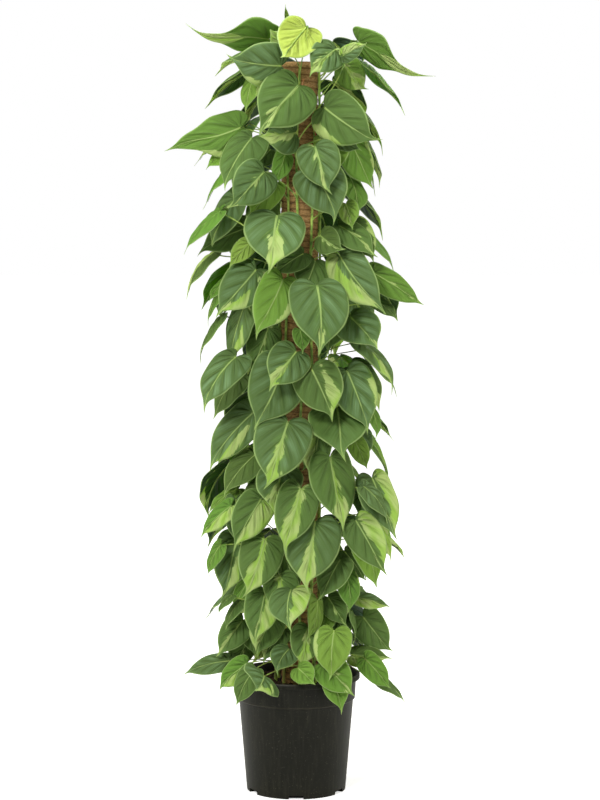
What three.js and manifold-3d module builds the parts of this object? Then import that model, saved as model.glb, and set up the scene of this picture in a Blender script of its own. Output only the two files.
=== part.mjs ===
// A heartleaf philodendron that climbs a coir pole in a black nursery pot.
// Millimetres, +Z up, origin at the centre of the pot's base.
import * as THREE from "three";
import { mergeVertices } from "three/addons/utils/BufferGeometryUtils.js";
import Module from "manifold-3d";

const wasm = await Module();
wasm.setup();

// Driving dimensions of the pot
const POT_HEIGHT = 245;
const RIM_RADIUS = 133;
const LIP_HEIGHT = 11;
const LIP_DEPTH = 7;
const LEDGE_DROP = 52;
const LEDGE_STEP = 3.5;
const BASE_RADIUS = 103;
const WALL = 2.2;
const FLOOR_LIFT = 9;
const NOTCH_COUNT = 6;
const NOTCH_WIDTH = 30;
const NOTCH_HEIGHT = 8;
const NOTCH_DEPTH = 24;
const FOOT_SLANT = 6;
const DRAIN_RADIUS = 6;
const DRAIN_RING = 78;
const UPPER_FLARE = 3;
const POT_SIDES = 28;

// Driving dimensions of the pole and the soil
const POLE_X = 7;
const POLE_TOP = 1508;
const COIR_RADIUS = 38;
const COIR_PINCH = 1.6;
const COIR_STEP = 160;
const COIR_SIDES = 12;
const CORE_RADIUS = 14;
const CORE_SIDES = 12;
const COIR_ROUNDING = 5;
const SOIL_DROP = 18;
const GAP = 0.35;

// Driving dimensions of the stems, the leaf stalks and the blades
const STEM_COUNT = 9;
const STEM_RADIUS = 3.2;
const STEM_TRACK = COIR_RADIUS + 4;
const ROOT_TRACK = 50;
const ROOT_DEPTH = 60;
const LEAN_HEIGHT = 150;
const STEM_STEP = 100;
const STEM_ROOM = 1.5;
const STALK_RADIUS = 1.4;
const BLADE_THICKNESS = 1.0;
const CLEARANCE = 0.5;
const STEM_TOPS = [1496, 1440, 1500, 1380, 1485, 1300, 1470, 1410, 1490];

const SOIL_TOP = POT_HEIGHT - SOIL_DROP;
const ROOT_END = SOIL_TOP - ROOT_DEPTH;
const deg = THREE.MathUtils.degToRad;

// Gives a repeatable number from 0 to 1 for a leaf, a try and a use.
function chance(leaf, attempt, use) {
  let h = Math.imul(leaf + 1, 0x9e3779b1);
  h ^= Math.imul(attempt + 1, 0x85ebca6b);
  h ^= Math.imul(use + 1, 0xc2b2ae35);
  h ^= h >>> 15;
  h = Math.imul(h, 0x2c1b3c6d);
  h ^= h >>> 12;
  h = Math.imul(h, 0x297a2d39);
  h ^= h >>> 15;
  return (h >>> 0) / 4294967296;
}

// Turns a closed three.js geometry into a solid for joining and cutting.
function solid(geometry) {
  const bare = geometry.clone();
  bare.deleteAttribute("normal");
  bare.deleteAttribute("uv");
  const merged = mergeVertices(bare, 1e-4);
  const triVerts = new Uint32Array(merged.index.array);
  const vertProperties = merged.attributes.position.array;
  return new wasm.Manifold(new wasm.Mesh({ numProp: 3, vertProperties, triVerts }));
}

function geometryOf(body) {
  const mesh = body.getMesh();
  const geometry = new THREE.BufferGeometry();
  geometry.setAttribute("position", new THREE.BufferAttribute(mesh.vertProperties, 3));
  geometry.setIndex(new THREE.BufferAttribute(mesh.triVerts, 1));
  return geometry;
}

// Spins a profile of [radius, height] points about the upright axis.
function spun(profile, sides) {
  const points = profile.map(([r, z]) => new THREE.Vector2(r, z));
  return new THREE.LatheGeometry(points, sides).rotateX(Math.PI / 2);
}

// An upright post of few sides, centred at x, y.
function post(radius, low, high, sides, x = 0, y = 0) {
  const geometry = new THREE.CylinderGeometry(radius, radius, high - low, sides);
  return geometry.rotateX(Math.PI / 2).translate(x, y, (low + high) / 2);
}

// A tube of few sides along a curve.
function tube(curve, radius, sides, steps) {
  const section = new THREE.Shape();
  for (let i = 0; i < sides; i++) {
    const a = (2 * Math.PI * i) / sides;
    const x = radius * Math.cos(a);
    const y = radius * Math.sin(a);
    if (i === 0) section.moveTo(x, y);
    else section.lineTo(x, y);
  }
  return new THREE.ExtrudeGeometry(section, { steps, extrudePath: curve });
}

// The pot: a thin shell with a lip, a ledge, a raised floor and a notched foot.
function potWallRadius(z) {
  const ledge = POT_HEIGHT - LEDGE_DROP;
  const atLedge = RIM_RADIUS - LIP_DEPTH - UPPER_FLARE;
  if (z < ledge) return BASE_RADIUS + ((atLedge - LEDGE_STEP - BASE_RADIUS) * z) / ledge;
  return atLedge + (UPPER_FLARE * (z - ledge)) / LEDGE_DROP;
}

function makePot() {
  const lip = POT_HEIGHT - LIP_HEIGHT;
  const ledge = POT_HEIGHT - LEDGE_DROP;
  const floorTop = FLOOR_LIFT + WALL;
  const profile = [
    [0, FLOOR_LIFT],
    [BASE_RADIUS - FOOT_SLANT, FLOOR_LIFT],
    [BASE_RADIUS - WALL, 0],
    [BASE_RADIUS, 0],
    [potWallRadius(ledge - 1), ledge - 1],
    [potWallRadius(ledge), ledge],
    [potWallRadius(lip), lip],
    [RIM_RADIUS, lip],
    [RIM_RADIUS, POT_HEIGHT - 2],
    [RIM_RADIUS - 2, POT_HEIGHT],
    [RIM_RADIUS - LIP_DEPTH, POT_HEIGHT],
    [potWallRadius(lip) - WALL, lip],
    [potWallRadius(ledge) - WALL, ledge],
    [potWallRadius(ledge - 1) - WALL, ledge - 2],
    [BASE_RADIUS - WALL, floorTop],
    [0, floorTop],
  ];
  let body = solid(spun(profile, POT_SIDES));
  for (let i = 0; i < NOTCH_COUNT; i++) {
    const a = -Math.PI / 2 + (i * 2 * Math.PI) / NOTCH_COUNT;
    const notch = new THREE.BoxGeometry(NOTCH_DEPTH, NOTCH_WIDTH, 2 * NOTCH_HEIGHT);
    notch.translate(BASE_RADIUS, 0, 0).rotateZ(a);
    body = body.subtract(solid(notch));
    const x = DRAIN_RING * Math.cos(a);
    const y = DRAIN_RING * Math.sin(a);
    body = body.subtract(solid(post(DRAIN_RADIUS, 0, 2 * floorTop, 8, x, y)));
  }
  return geometryOf(body);
}

// The soil: it fills the pot, with a lumpy top and holes for the pole and the stems.
function soilRise(x, y) {
  return 2.2 * Math.sin(x * 0.071 + 1.3) * Math.cos(y * 0.083) + 1.6 * Math.sin(y * 0.17 - x * 0.11);
}

function makeSoil() {
  const ledge = POT_HEIGHT - LEDGE_DROP;
  const low = FLOOR_LIFT + WALL + GAP;
  const margin = WALL + 2 * GAP;
  const top = potWallRadius(SOIL_TOP) - margin - 0.4;
  const profile = [
    [0, low],
    [BASE_RADIUS - margin, low],
    [potWallRadius(ledge - 2) - margin, ledge - 2],
    [potWallRadius(ledge + 1) - margin, ledge + 1],
    [top, SOIL_TOP - 2],
    [88, SOIL_TOP],
    [0, SOIL_TOP],
  ];
  const geometry = spun(profile, POT_SIDES);
  const place = geometry.attributes.position;
  for (let i = 0; i < place.count; i++) {
    if (place.getZ(i) < SOIL_TOP - 3) continue;
    const r = Math.hypot(place.getX(i), place.getY(i));
    if (r > 1) place.setZ(i, place.getZ(i) + soilRise(place.getX(i), place.getY(i)));
  }
  let body = solid(geometry);
  body = body.subtract(solid(post(COIR_RADIUS + GAP, 0, POT_HEIGHT, COIR_SIDES, POLE_X, 0)));
  for (let i = 0; i < STEM_COUNT; i++) {
    const a = stemAngle(i);
    const x = POLE_X + ROOT_TRACK * Math.cos(a);
    const y = ROOT_TRACK * Math.sin(a);
    const hole = post(STEM_RADIUS + STEM_ROOM, ROOT_END - 1, POT_HEIGHT, 8, x, y);
    body = body.subtract(solid(hole));
  }
  return geometryOf(body);
}

// The pole: a stake inside a sleeve of coir that its binding pinches in.
function makeCore() {
  const low = FLOOR_LIFT + WALL + GAP;
  return post(CORE_RADIUS, low, POLE_TOP - 2, CORE_SIDES, POLE_X, 0);
}

function makeCoir() {
  const low = FLOOR_LIFT + WALL + GAP;
  const inner = CORE_RADIUS + GAP;
  const pinched = COIR_RADIUS - COIR_PINCH;
  const buried = SOIL_TOP - 30;
  const shoulder = POLE_TOP - COIR_ROUNDING;
  const profile = [[inner, low], [pinched, low], [pinched, buried]];
  for (let z = buried + COIR_STEP / 2; z < shoulder - 7; z += COIR_STEP) {
    profile.push([COIR_RADIUS, z], [pinched, z + COIR_STEP / 2]);
  }
  profile.push([COIR_RADIUS - 1, shoulder]);
  profile.push([COIR_RADIUS - COIR_ROUNDING, POLE_TOP]);
  profile.push([inner, POLE_TOP]);
  profile.push([inner, low]);
  return spun(profile, COIR_SIDES).translate(POLE_X, 0, 0);
}

// The stems: each rises from the soil, leans in to the pole and climbs it.
function stemAngle(stem) {
  return -Math.PI / 2 + (stem * 2 * Math.PI) / STEM_COUNT;
}

function stemPoint(stem, z) {
  const climb = THREE.MathUtils.smoothstep(z, SOIL_TOP, SOIL_TOP + LEAN_HEIGHT);
  const a = stemAngle(stem) + 0.14 * Math.sin(z * 0.0085 + stem * 2.1) * climb;
  const r = ROOT_TRACK + (STEM_TRACK - ROOT_TRACK) * climb;
  return new THREE.Vector3(POLE_X + r * Math.cos(a), r * Math.sin(a), z);
}

class StemCurve extends THREE.Curve {
  constructor(stem) {
    super();
    this.stem = stem;
  }

  getPoint(t, target = new THREE.Vector3()) {
    return target.copy(stemPoint(this.stem, THREE.MathUtils.lerp(ROOT_END, STEM_TOPS[this.stem], t)));
  }
}

function makeStem(stem) {
  const steps = Math.round((STEM_TOPS[stem] - ROOT_END) / STEM_STEP);
  return tube(new StemCurve(stem), STEM_RADIUS, 4, steps);
}

// The front view that the leaf list is drawn in: 600 steps wide, 800 high, u right, v down.
const VIEW = { x: 8, y: -5000, z: 1250, pitch: deg(4.97), focal: 2426, u: 300, v: 400 };
const VIEW_STEP = 2.07;

function pointInView(u, v, y) {
  const across = (u - VIEW.u) / VIEW.focal;
  const up = (VIEW.v - v) / VIEW.focal;
  const ahead = Math.cos(VIEW.pitch) + up * Math.sin(VIEW.pitch);
  const rise = -Math.sin(VIEW.pitch) + up * Math.cos(VIEW.pitch);
  const t = (y - VIEW.y) / ahead;
  return new THREE.Vector3(VIEW.x + across * t, y, VIEW.z + rise * t);
}

// Leaves that show from the front, in view steps: where the stalk joins the blade, the tip, the blade's
// width, its turn away from the front in degrees, and its layer: 0 behind to 2 in front, 3 past the rim.
const FRONT_LEAVES = [
  [268, 39, 186, 24, 42, 40, 1],
  [281, 66, 226, 58, 45, 0, 2],
  [290, 52, 268, 28, 24, 0, 0],
  [306, 28, 283, 60, 42, 180, 1],
  [289, 27, 285, 4, 5, 0, 1],
  [335, 50, 308, 76, 34, 0, 2],
  [350, 60, 311, 54, 20, 0, 0],
  [343, 56, 368, 44, 18, 0, 2],
  [359, 42, 436, 75, 38, -42, 1],
  [345, 66, 366, 91, 30, 0, 1],
  [254, 78, 246, 113, 30, -50, 1],
  [298, 86, 256, 134, 56, 0, 2],
  [295, 133, 258, 138, 40, 0, 2],
  [240, 128, 164, 154, 44, 0, 1],
  [252, 138, 222, 190, 45, -35, 1],
  [232, 148, 206, 169, 26, -50, 0],
  [270, 150, 252, 168, 22, 0, 0],
  [285, 155, 272, 186, 20, 0, 0],
  [264, 172, 230, 211, 42, 0, 2],
  [275, 183, 247, 222, 30, 0, 1],
  [236, 198, 211, 250, 36, -45, 1],
  [220, 212, 184, 254, 38, -60, 1],
  [247, 228, 196, 254, 34, -20, 1],
  [250, 243, 228, 268, 20, 0, 0],
  [277, 216, 272, 274, 60, 0, 2],
  [266, 202, 256, 240, 32, 0, 0],
  [256, 270, 214, 317, 46, -15, 2],
  [226, 281, 209, 302, 18, -50, 1],
  [222, 288, 207, 326, 26, -60, 1],
  [283, 280, 252, 338, 42, 0, 2],
  [246, 303, 230, 366, 40, -50, 1],
  [268, 328, 249, 375, 34, 0, 0],
  [236, 357, 202, 412, 42, -55, 1],
  [240, 376, 215, 421, 36, -50, 0],
  [283, 365, 252, 430, 57, 0, 1],
  [296, 352, 268, 390, 42, 0, 2],
  [300, 330, 303, 354, 17, 0, 2],
  [317, 286, 320, 357, 59, 0, 2],
  [315, 261, 300, 296, 38, 0, 0],
  [303, 254, 272, 276, 26, 0, 0],
  [321, 236, 345, 252, 28, 0, 1],
  [340, 256, 388, 314, 42, 0, 2],
  [339, 226, 376, 260, 34, 50, 1],
  [313, 171, 338, 223, 50, 0, 1],
  [315, 147, 328, 196, 42, 0, 2],
  [329, 137, 335, 178, 36, 0, 0],
  [325, 108, 379, 144, 50, 0, 1],
  [350, 140, 372, 190, 44, 30, 1],
  [322, 112, 346, 142, 24, 0, 0],
  [336, 138, 362, 150, 18, 0, 1],
  [350, 178, 357, 216, 38, 30, 1],
  [346, 204, 353, 230, 22, 0, 1],
  [352, 224, 376, 262, 34, 20, 0],
  [373, 273, 424, 307, 30, 30, 1],
  [349, 285, 367, 344, 42, 25, 1],
  [374, 300, 398, 321, 20, 40, 0],
  [350, 317, 380, 350, 44, 20, 1],
  [338, 312, 326, 355, 30, 0, 0],
  [353, 368, 380, 412, 40, 40, 0],
  [347, 371, 370, 434, 44, 15, 1],
  [312, 370, 334, 421, 48, 0, 2],
  [337, 408, 341, 460, 60, 0, 1],
  [288, 422, 268, 491, 56, 0, 2],
  [254, 412, 208, 470, 40, -20, 1],
  [255, 455, 222, 497, 36, -35, 1],
  [238, 489, 207, 514, 22, -50, 0],
  [231, 506, 200, 538, 26, -40, 1],
  [262, 484, 240, 500, 20, 0, 0],
  [261, 499, 232, 550, 38, 0, 1],
  [283, 470, 273, 516, 46, 0, 0],
  [301, 489, 282, 554, 42, 0, 2],
  [330, 457, 346, 532, 48, 0, 1],
  [320, 430, 315, 487, 30, 0, 0],
  [315, 440, 303, 472, 24, 0, 0],
  [368, 405, 376, 440, 26, 60, 1],
  [362, 432, 365, 460, 20, 0, 0],
  [354, 440, 367, 470, 20, 0, 1],
  [372, 478, 396, 541, 44, 45, 1],
  [380, 480, 394, 513, 26, 60, 0],
  [364, 487, 387, 522, 30, 50, 1],
  [362, 495, 372, 531, 28, 40, 0],
  [369, 514, 392, 562, 36, 55, 1],
  [356, 521, 386, 577, 38, 30, 2],
  [350, 531, 366, 583, 32, 40, 1],
  [361, 540, 375, 590, 32, 40, 0],
  [345, 552, 365, 582, 22, 0, 0],
  [315, 522, 303, 592, 57, 0, 2],
  [236, 500, 236, 545, 26, -20, 0],
  [236, 538, 223, 600, 40, -25, 1],
  [221, 545, 208, 577, 24, -55, 0],
  [265, 539, 246, 599, 44, 0, 2],
  [279, 576, 285, 618, 36, 0, 1],
  [284, 556, 300, 594, 24, 0, 0],
  [265, 592, 253, 645, 36, 0, 2],
  [291, 590, 290, 632, 42, 0, 1],
  [272, 616, 255, 657, 34, 0, 1],
  [249, 580, 233, 612, 24, -40, 0],
  [232, 596, 218, 615, 20, -50, 1],
  [240, 602, 226, 630, 24, -60, 0],
  [243, 620, 217, 658, 32, -20, 1],
  [248, 640, 229, 671, 28, 0, 1],
  [229, 661, 183, 675, 24, -40, 1],
  [247, 664, 218, 690, 26, -30, 0],
  [254, 670, 237, 707, 26, 0, 3],
  [289, 649, 275, 674, 28, 0, 0],
  [264, 676, 256, 692, 46, 0, 3],
  [298, 668, 315, 686, 24, 0, 3],
  [308, 628, 302, 670, 32, 0, 1],
  [317, 600, 305, 641, 24, 70, 1],
  [340, 560, 320, 602, 34, 0, 1],
  [328, 597, 347, 628, 26, 0, 0],
  [327, 612, 319, 640, 22, 0, 1],
  [345, 572, 349, 614, 26, 20, 0],
  [351, 612, 353, 645, 24, 70, 1],
  [357, 598, 391, 608, 24, 50, 1],
  [363, 617, 391, 653, 36, 15, 1],
  [352, 655, 393, 658, 26, 30, 1],
  [365, 659, 390, 690, 26, 30, 1],
  [334, 668, 344, 714, 28, 0, 3],
  [325, 664, 354, 697, 34, 0, 3],
  [334, 631, 332, 681, 38, 0, 3],
  [250, 625, 256, 657, 20, 0, 0],
  [283, 630, 262, 664, 24, 0, 0],
  [335, 615, 350, 642, 28, 0, 0],
];
const POLE_U = 300;
const LAYER_REACH = [64, 86, 108, 138];
const GROWING_ORDER = [3, 0, 1, 2];
const FOLIAGE_REACH = 190;
const BACK_LEAVES = 76;
const LEAF_TOTAL = FRONT_LEAVES.length + BACK_LEAVES;
const TRIES = 26;

// How far a try moves a leaf towards the viewer, or outwards at the back.
function tryShift(attempt) {
  const step = 7 * Math.ceil(attempt / 2);
  return attempt % 3 === 2 ? -0.6 * step : step;
}

// A leaf that the front view shows. The list fixes its place across and up, and a try its depth.
function frontPose(index, attempt) {
  const [bu, bv, tu, tv, wide, turn, layer] = FRONT_LEAVES[index];
  const shift = tryShift(attempt);
  const shown = Math.hypot(tu - bu, tv - bv) * VIEW_STEP;
  const width = wide * VIEW_STEP;
  const length = Math.max(1.2 * width, 1.03 * shown);
  const across = (bu - POLE_U) * VIEW_STEP;
  const inside = LAYER_REACH[layer] ** 2 - across ** 2;
  const side = -30 + 55 * (chance(index, 0, 1) - 0.5);
  const y = (inside > 900 ? -Math.sqrt(inside) : side) - shift;
  const depth = Math.min(Math.sqrt(length ** 2 - shown ** 2), 0.88 * length);
  const forward = Math.max(Math.min(depth, FOLIAGE_REACH + y), 0);
  const away = Math.abs(across) > 92 && chance(index, 0, 2) < 0.45 ? -1 : 1;
  const base = pointInView(bu, bv, y);
  const tip = pointInView(tu, tv, y - away * forward);
  const eye = new THREE.Vector3(VIEW.x, VIEW.y, VIEW.z).sub(base).normalize();
  const roll = deg(turn) + deg(16) * (chance(index, attempt, 3) - 0.5) * Math.min(attempt, 3);
  return pose(index, base, tip, eye, roll, width);
}

// A leaf round the back, spread by the golden angle, larger towards the top.
function backPose(index, attempt) {
  const rank = index - FRONT_LEAVES.length;
  const level = (rank + 0.5) / BACK_LEAVES;
  const turn = rank * 0.618034 + 0.03 * attempt * (chance(index, attempt, 4) - 0.5);
  const share = 2 * (turn - Math.floor(turn)) - 1;
  const a = Math.PI * (0.5 + 0.62 * Math.sign(share) * Math.abs(share) ** 0.8);
  const length = 106 + 26 * level + 26 * (chance(index, 0, 5) - 0.5);
  const lean = deg(22 + 26 * chance(index, 0, 6) + 30 * Math.max(level - 0.93, 0) * 14);
  const reach = 72 + 34 * chance(index, 0, 7) + tryShift(attempt);
  const z = 292 + 1270 * level + 8 * attempt * (chance(index, attempt, 8) - 0.5);
  const swing = 0.5 * (chance(index, 0, 9) - 0.5);
  const out = new THREE.Vector3(Math.cos(a), Math.sin(a), 0);
  const base = new THREE.Vector3(POLE_X, 0, z).addScaledVector(out, reach);
  const down = new THREE.Vector3(Math.cos(a + swing), Math.sin(a + swing), 0);
  down.multiplyScalar(Math.sin(lean)).add(new THREE.Vector3(0, 0, -Math.cos(lean)));
  const tip = base.clone().addScaledVector(down, length);
  const roll = deg(50) * (chance(index, attempt, 10) - 0.5);
  return pose(index, base, tip, out, roll, length * (0.78 + 0.06 * chance(index, 0, 11)));
}

// A blade's frame: along to the tip, out of its upper face, and across to its right.
function pose(index, base, tip, facing, roll, width) {
  const along = tip.clone().sub(base);
  const length = along.length();
  along.divideScalar(length);
  const normal = facing.clone().addScaledVector(along, -facing.dot(along)).normalize();
  normal.applyAxisAngle(along, -roll);
  const across = normal.clone().cross(along);
  const arch = 0.05 + 0.07 * chance(index, 0, 12);
  const bow = 0.09 * (chance(index, 0, 13) - 0.5);
  return { base, along, normal, across, length, width, arch, bow };
}

function leafPose(index, attempt) {
  if (index < FRONT_LEAVES.length) return frontPose(index, attempt);
  return backPose(index, attempt);
}

// A point of the blade: u runs from the stalk to the tip, v across in blade widths.
function bladePoint(leaf, u, v, lift) {
  const hump = 4 * u * (1 - u);
  const side = leaf.width * v + leaf.length * leaf.bow * hump;
  const fold = 0.1 * Math.abs(2 * v) - 0.17 * (2 * v) ** 2;
  const rise = leaf.length * leaf.arch * hump + leaf.width * fold + lift;
  const point = leaf.base.clone().addScaledVector(leaf.along, leaf.length * u);
  return point.addScaledVector(leaf.across, side).addScaledVector(leaf.normal, rise);
}

// Half of the heart outline from the notch to the drip tip, as [along, across].
const HEART = [[-0.13, 0.2], [-0.04, 0.42], [0.2, 0.5], [0.56, 0.41], [0.82, 0.14], [1, 0]];
const MIDDLE_HEART = [[-0.13, 0.22], [0.02, 0.47], [0.36, 0.49], [0.77, 0.21], [1, 0]];
const SMALL_HEART = [[-0.13, 0.24], [0.14, 0.5], [0.62, 0.35], [1, 0]];
const MIDDLE_WIDTH = 98;
const SMALL_WIDTH = 71;
const RIB = 0.4;
const SOCKET = [[-1.5, 1.6], [1.8, 0], [-1.5, -1.6]];

// The blade's flat points: the outline from one side of the notch round to the other, then the midrib.
function flatBlade(leaf) {
  const half = leaf.width < SMALL_WIDTH ? SMALL_HEART : leaf.width < MIDDLE_WIDTH ? MIDDLE_HEART : HEART;
  const [notch, seat] = SOCKET.map(([along, across]) => [along / leaf.length, across / leaf.width]);
  const right = [notch, ...half];
  const left = right.slice(0, -1).reverse().map(([u, v]) => [u, -v]);
  return { outline: [...right, ...left], right: right.length, ribs: [seat, [RIB, 0]] };
}

// A leaf: two alike faces, creased along the midrib and joined by a thin edge all round. Its stalk grows
// out of the lower face at the notch.
function leafGeometry(leaf, thickness, stalk) {
  const { outline, right, ribs } = flatBlade(leaf);
  const loop = outline.length;
  const flat = [...outline, ...ribs];
  const seat = loop;
  const rib = loop + 1;
  const half = [...Array(right).keys(), rib, seat];
  const corners = half.map((i) => new THREE.Vector2(...flat[i]));
  const across = (i) => (i < loop ? loop - 1 - i : i);
  const faces = [];
  for (const [a, b, c] of THREE.ShapeUtils.triangulateShape(corners, [])) {
    const face = [half[a], half[b], half[c]];
    if (THREE.ShapeUtils.area([corners[a], corners[b], corners[c]]) < 0) face.reverse();
    faces.push(face, face.map(across).reverse());
  }
  const count = flat.length;
  const places = [];
  for (const lift of [thickness / 2, -thickness / 2]) {
    for (const [u, v] of flat) places.push(...bladePoint(leaf, u, v, lift).toArray());
  }
  const index = [0, loop - 1, seat];
  for (const [a, b, c] of faces) {
    index.push(a, b, c);
    index.push(a + count, c + count, b + count);
  }
  for (let i = 0; i < loop; i++) {
    const j = (i + 1) % loop;
    index.push(i, j, i + count);
    index.push(j, j + count, i + count);
  }
  let ring = [count, count + seat, count + loop - 1];
  for (const next of stalk) {
    const first = places.length / 3;
    for (const point of next) places.push(...point.toArray());
    const fresh = [first, first + 1, first + 2];
    joinRings(index, ring, fresh);
    ring = fresh;
  }
  index.push(...ring);
  const geometry = new THREE.BufferGeometry();
  geometry.setAttribute("position", new THREE.Float32BufferAttribute(places, 3));
  geometry.setIndex(index);
  return geometry;
}

function joinRings(index, ring, next) {
  for (let i = 0; i < 3; i++) {
    const j = (i + 1) % 3;
    index.push(ring[i], ring[j], next[i]);
    index.push(ring[j], next[j], next[i]);
  }
}

// The stalk of a leaf: it leaves the stem outwards and comes up to the blade from behind.
const STALK_RISES = [34, 58, 82, 14, 110];
const STALK_TRIES = 15;

function stalkCurve(leaf, choice) {
  const stems = [];
  for (let i = 0; i < STEM_COUNT; i++) {
    const top = STEM_TOPS[i] - 3;
    const wanted = leaf.base.z - STALK_RISES[choice % 5];
    const from = stemPoint(i, Math.max(Math.min(wanted, top), SOIL_TOP + 34));
    stems.push({ stem: i, from, far: from.distanceTo(leaf.base) });
  }
  stems.sort((a, b) => a.far - b.far);
  const { stem, from, far } = stems[Math.floor(choice / 5)];
  const out = new THREE.Vector3(from.x - POLE_X, from.y, 0).normalize();
  const up = new THREE.Vector3(0, 0, 1);
  const leave = from.clone().addScaledVector(out, 0.32 * far).addScaledVector(up, 0.28 * far);
  const arrive = leaf.base.clone().addScaledVector(leaf.normal, -0.3 * far);
  arrive.addScaledVector(up, 0.05 * far);
  return { stem, curve: new THREE.CubicBezierCurve3(from, leave, arrive, leaf.base) };
}

// Three points round the stalk at its middle and inside the stem, turned to follow it from the blade.
function stalkRings(leaf, curve, radius) {
  return [0.5, 0].map((t) => {
    const centre = curve.getPoint(t);
    const turn = new THREE.Quaternion().setFromUnitVectors(leaf.normal, curve.getTangent(t));
    return SOCKET.map(([along, across]) => {
      const offset = leaf.along.clone().multiplyScalar(along).addScaledVector(leaf.across, across);
      return offset.setLength(radius).applyQuaternion(turn).add(centre);
    });
  });
}

// Whether two sets of triangles cross: an edge of one passes through a face of the other.
function soupOf(geometry) {
  const loose = geometry.index ? geometry.toNonIndexed() : geometry;
  const xyz = Float64Array.from(loose.attributes.position.array);
  loose.computeBoundingBox();
  return { xyz, box: loose.boundingBox };
}

const EDGE_A = new THREE.Vector3();
const EDGE_D = new THREE.Vector3();
const FACE_P = new THREE.Vector3();
const SIDE_1 = new THREE.Vector3();
const SIDE_2 = new THREE.Vector3();
const CROSS_H = new THREE.Vector3();
const FROM_P = new THREE.Vector3();
const CROSS_Q = new THREE.Vector3();

function edgeHitsFace(a, i, j, b, f) {
  EDGE_A.fromArray(a, i);
  EDGE_D.fromArray(a, j).sub(EDGE_A);
  FACE_P.fromArray(b, f);
  SIDE_1.fromArray(b, f + 3).sub(FACE_P);
  SIDE_2.fromArray(b, f + 6).sub(FACE_P);
  CROSS_H.crossVectors(EDGE_D, SIDE_2);
  const det = SIDE_1.dot(CROSS_H);
  if (Math.abs(det) < 1e-9) return false;
  FROM_P.subVectors(EDGE_A, FACE_P);
  const s = FROM_P.dot(CROSS_H) / det;
  if (s < 0 || s > 1) return false;
  CROSS_Q.crossVectors(FROM_P, SIDE_1);
  const t = EDGE_D.dot(CROSS_Q) / det;
  if (t < 0 || s + t > 1) return false;
  const along = SIDE_2.dot(CROSS_Q) / det;
  return along >= 0 && along <= 1;
}

function facesApart(a, i, b, j) {
  for (let k = 0; k < 3; k++) {
    const lowA = Math.min(a[i + k], a[i + 3 + k], a[i + 6 + k]);
    const highA = Math.max(a[i + k], a[i + 3 + k], a[i + 6 + k]);
    const lowB = Math.min(b[j + k], b[j + 3 + k], b[j + 6 + k]);
    const highB = Math.max(b[j + k], b[j + 3 + k], b[j + 6 + k]);
    if (lowA > highB || lowB > highA) return true;
  }
  return false;
}

function crosses(one, other) {
  if (!one.box.intersectsBox(other.box)) return false;
  const a = one.xyz;
  const b = other.xyz;
  for (let i = 0; i < a.length; i += 9) {
    for (let j = 0; j < b.length; j += 9) {
      if (facesApart(a, i, b, j)) continue;
      for (let k = 0; k < 3; k++) {
        const next = (k + 1) % 3;
        if (edgeHitsFace(a, i + 3 * k, i + 3 * next, b, j)) return true;
        if (edgeHitsFace(b, j + 3 * k, j + 3 * next, a, i)) return true;
      }
    }
  }
  return false;
}

// Things that a leaf has to keep clear of from the start: the pole, the pot, the soil and the stems.
function makeObstacles() {
  const wide = CLEARANCE + 0.6;
  const pole = post(COIR_RADIUS + 1, SOIL_TOP - 40, POLE_TOP + 1, COIR_SIDES, POLE_X, 0);
  const ring = [
    [RIM_RADIUS - LIP_DEPTH - wide, SOIL_TOP - 4],
    [BASE_RADIUS + wide, 0],
    [potWallRadius(POT_HEIGHT - LEDGE_DROP) + wide, POT_HEIGHT - LEDGE_DROP],
    [RIM_RADIUS + wide + 0.4, POT_HEIGHT - LIP_HEIGHT - wide],
    [RIM_RADIUS + wide + 0.4, POT_HEIGHT + wide],
    [RIM_RADIUS - LIP_DEPTH - wide, POT_HEIGHT + wide],
    [RIM_RADIUS - LIP_DEPTH - wide, SOIL_TOP - 4],
  ];
  const pot = spun(ring, POT_SIDES);
  const soil = post(118, 100, SOIL_TOP + 6, 24);
  const fixed = [pole, pot, soil].map((g) => ({ ...soupOf(g), stem: -1 }));
  for (let i = 0; i < STEM_COUNT; i++) fixed.push({ ...soupOf(makeStem(i)), stem: i });
  return fixed;
}

// Grows the leaves one by one. A leaf takes the first try at which its blade and stalk are clear of all.
function growLeaves() {
  const placed = makeObstacles();
  const order = [];
  for (const layer of GROWING_ORDER) {
    FRONT_LEAVES.forEach((leaf, index) => {
      if (leaf[6] === layer) order.push(index);
    });
  }
  for (let i = FRONT_LEAVES.length; i < LEAF_TOTAL; i++) order.push(i);
  const grown = Array.from({ length: STEM_COUNT }, () => []);
  for (const index of order) {
    for (let attempt = 0; attempt < TRIES; attempt++) {
      const leaf = leafPose(index, attempt);
      const blade = soupOf(leafGeometry(leaf, BLADE_THICKNESS + 2 * CLEARANCE, []));
      if (placed.some((other) => crosses(blade, other))) continue;
      const stalk = clearStalk(leaf, placed);
      if (!stalk) continue;
      placed.push({ ...blade, stem: -1 }, { ...stalk.soup, stem: -1 });
      grown[stalk.stem].push({ leaf, curve: stalk.curve, index, attempt, choice: stalk.choice });
      break;
    }
  }
  return grown;
}

function clearStalk(leaf, placed) {
  for (let choice = 0; choice < STALK_TRIES; choice++) {
    const { stem, curve } = stalkCurve(leaf, choice);
    const points = curve.getPoints(8).slice(1);
    if (points.some((p) => Math.hypot(p.x - POLE_X, p.y) < STEM_TRACK - 1 && p.z < POLE_TOP + 4)) continue;
    const soup = soupOf(stalkSheath(leaf, curve));
    const blocked = placed.some((other) => other.stem !== stem && crosses(soup, other));
    if (!blocked) return { stem, curve, soup, choice };
  }
  return null;
}

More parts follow.
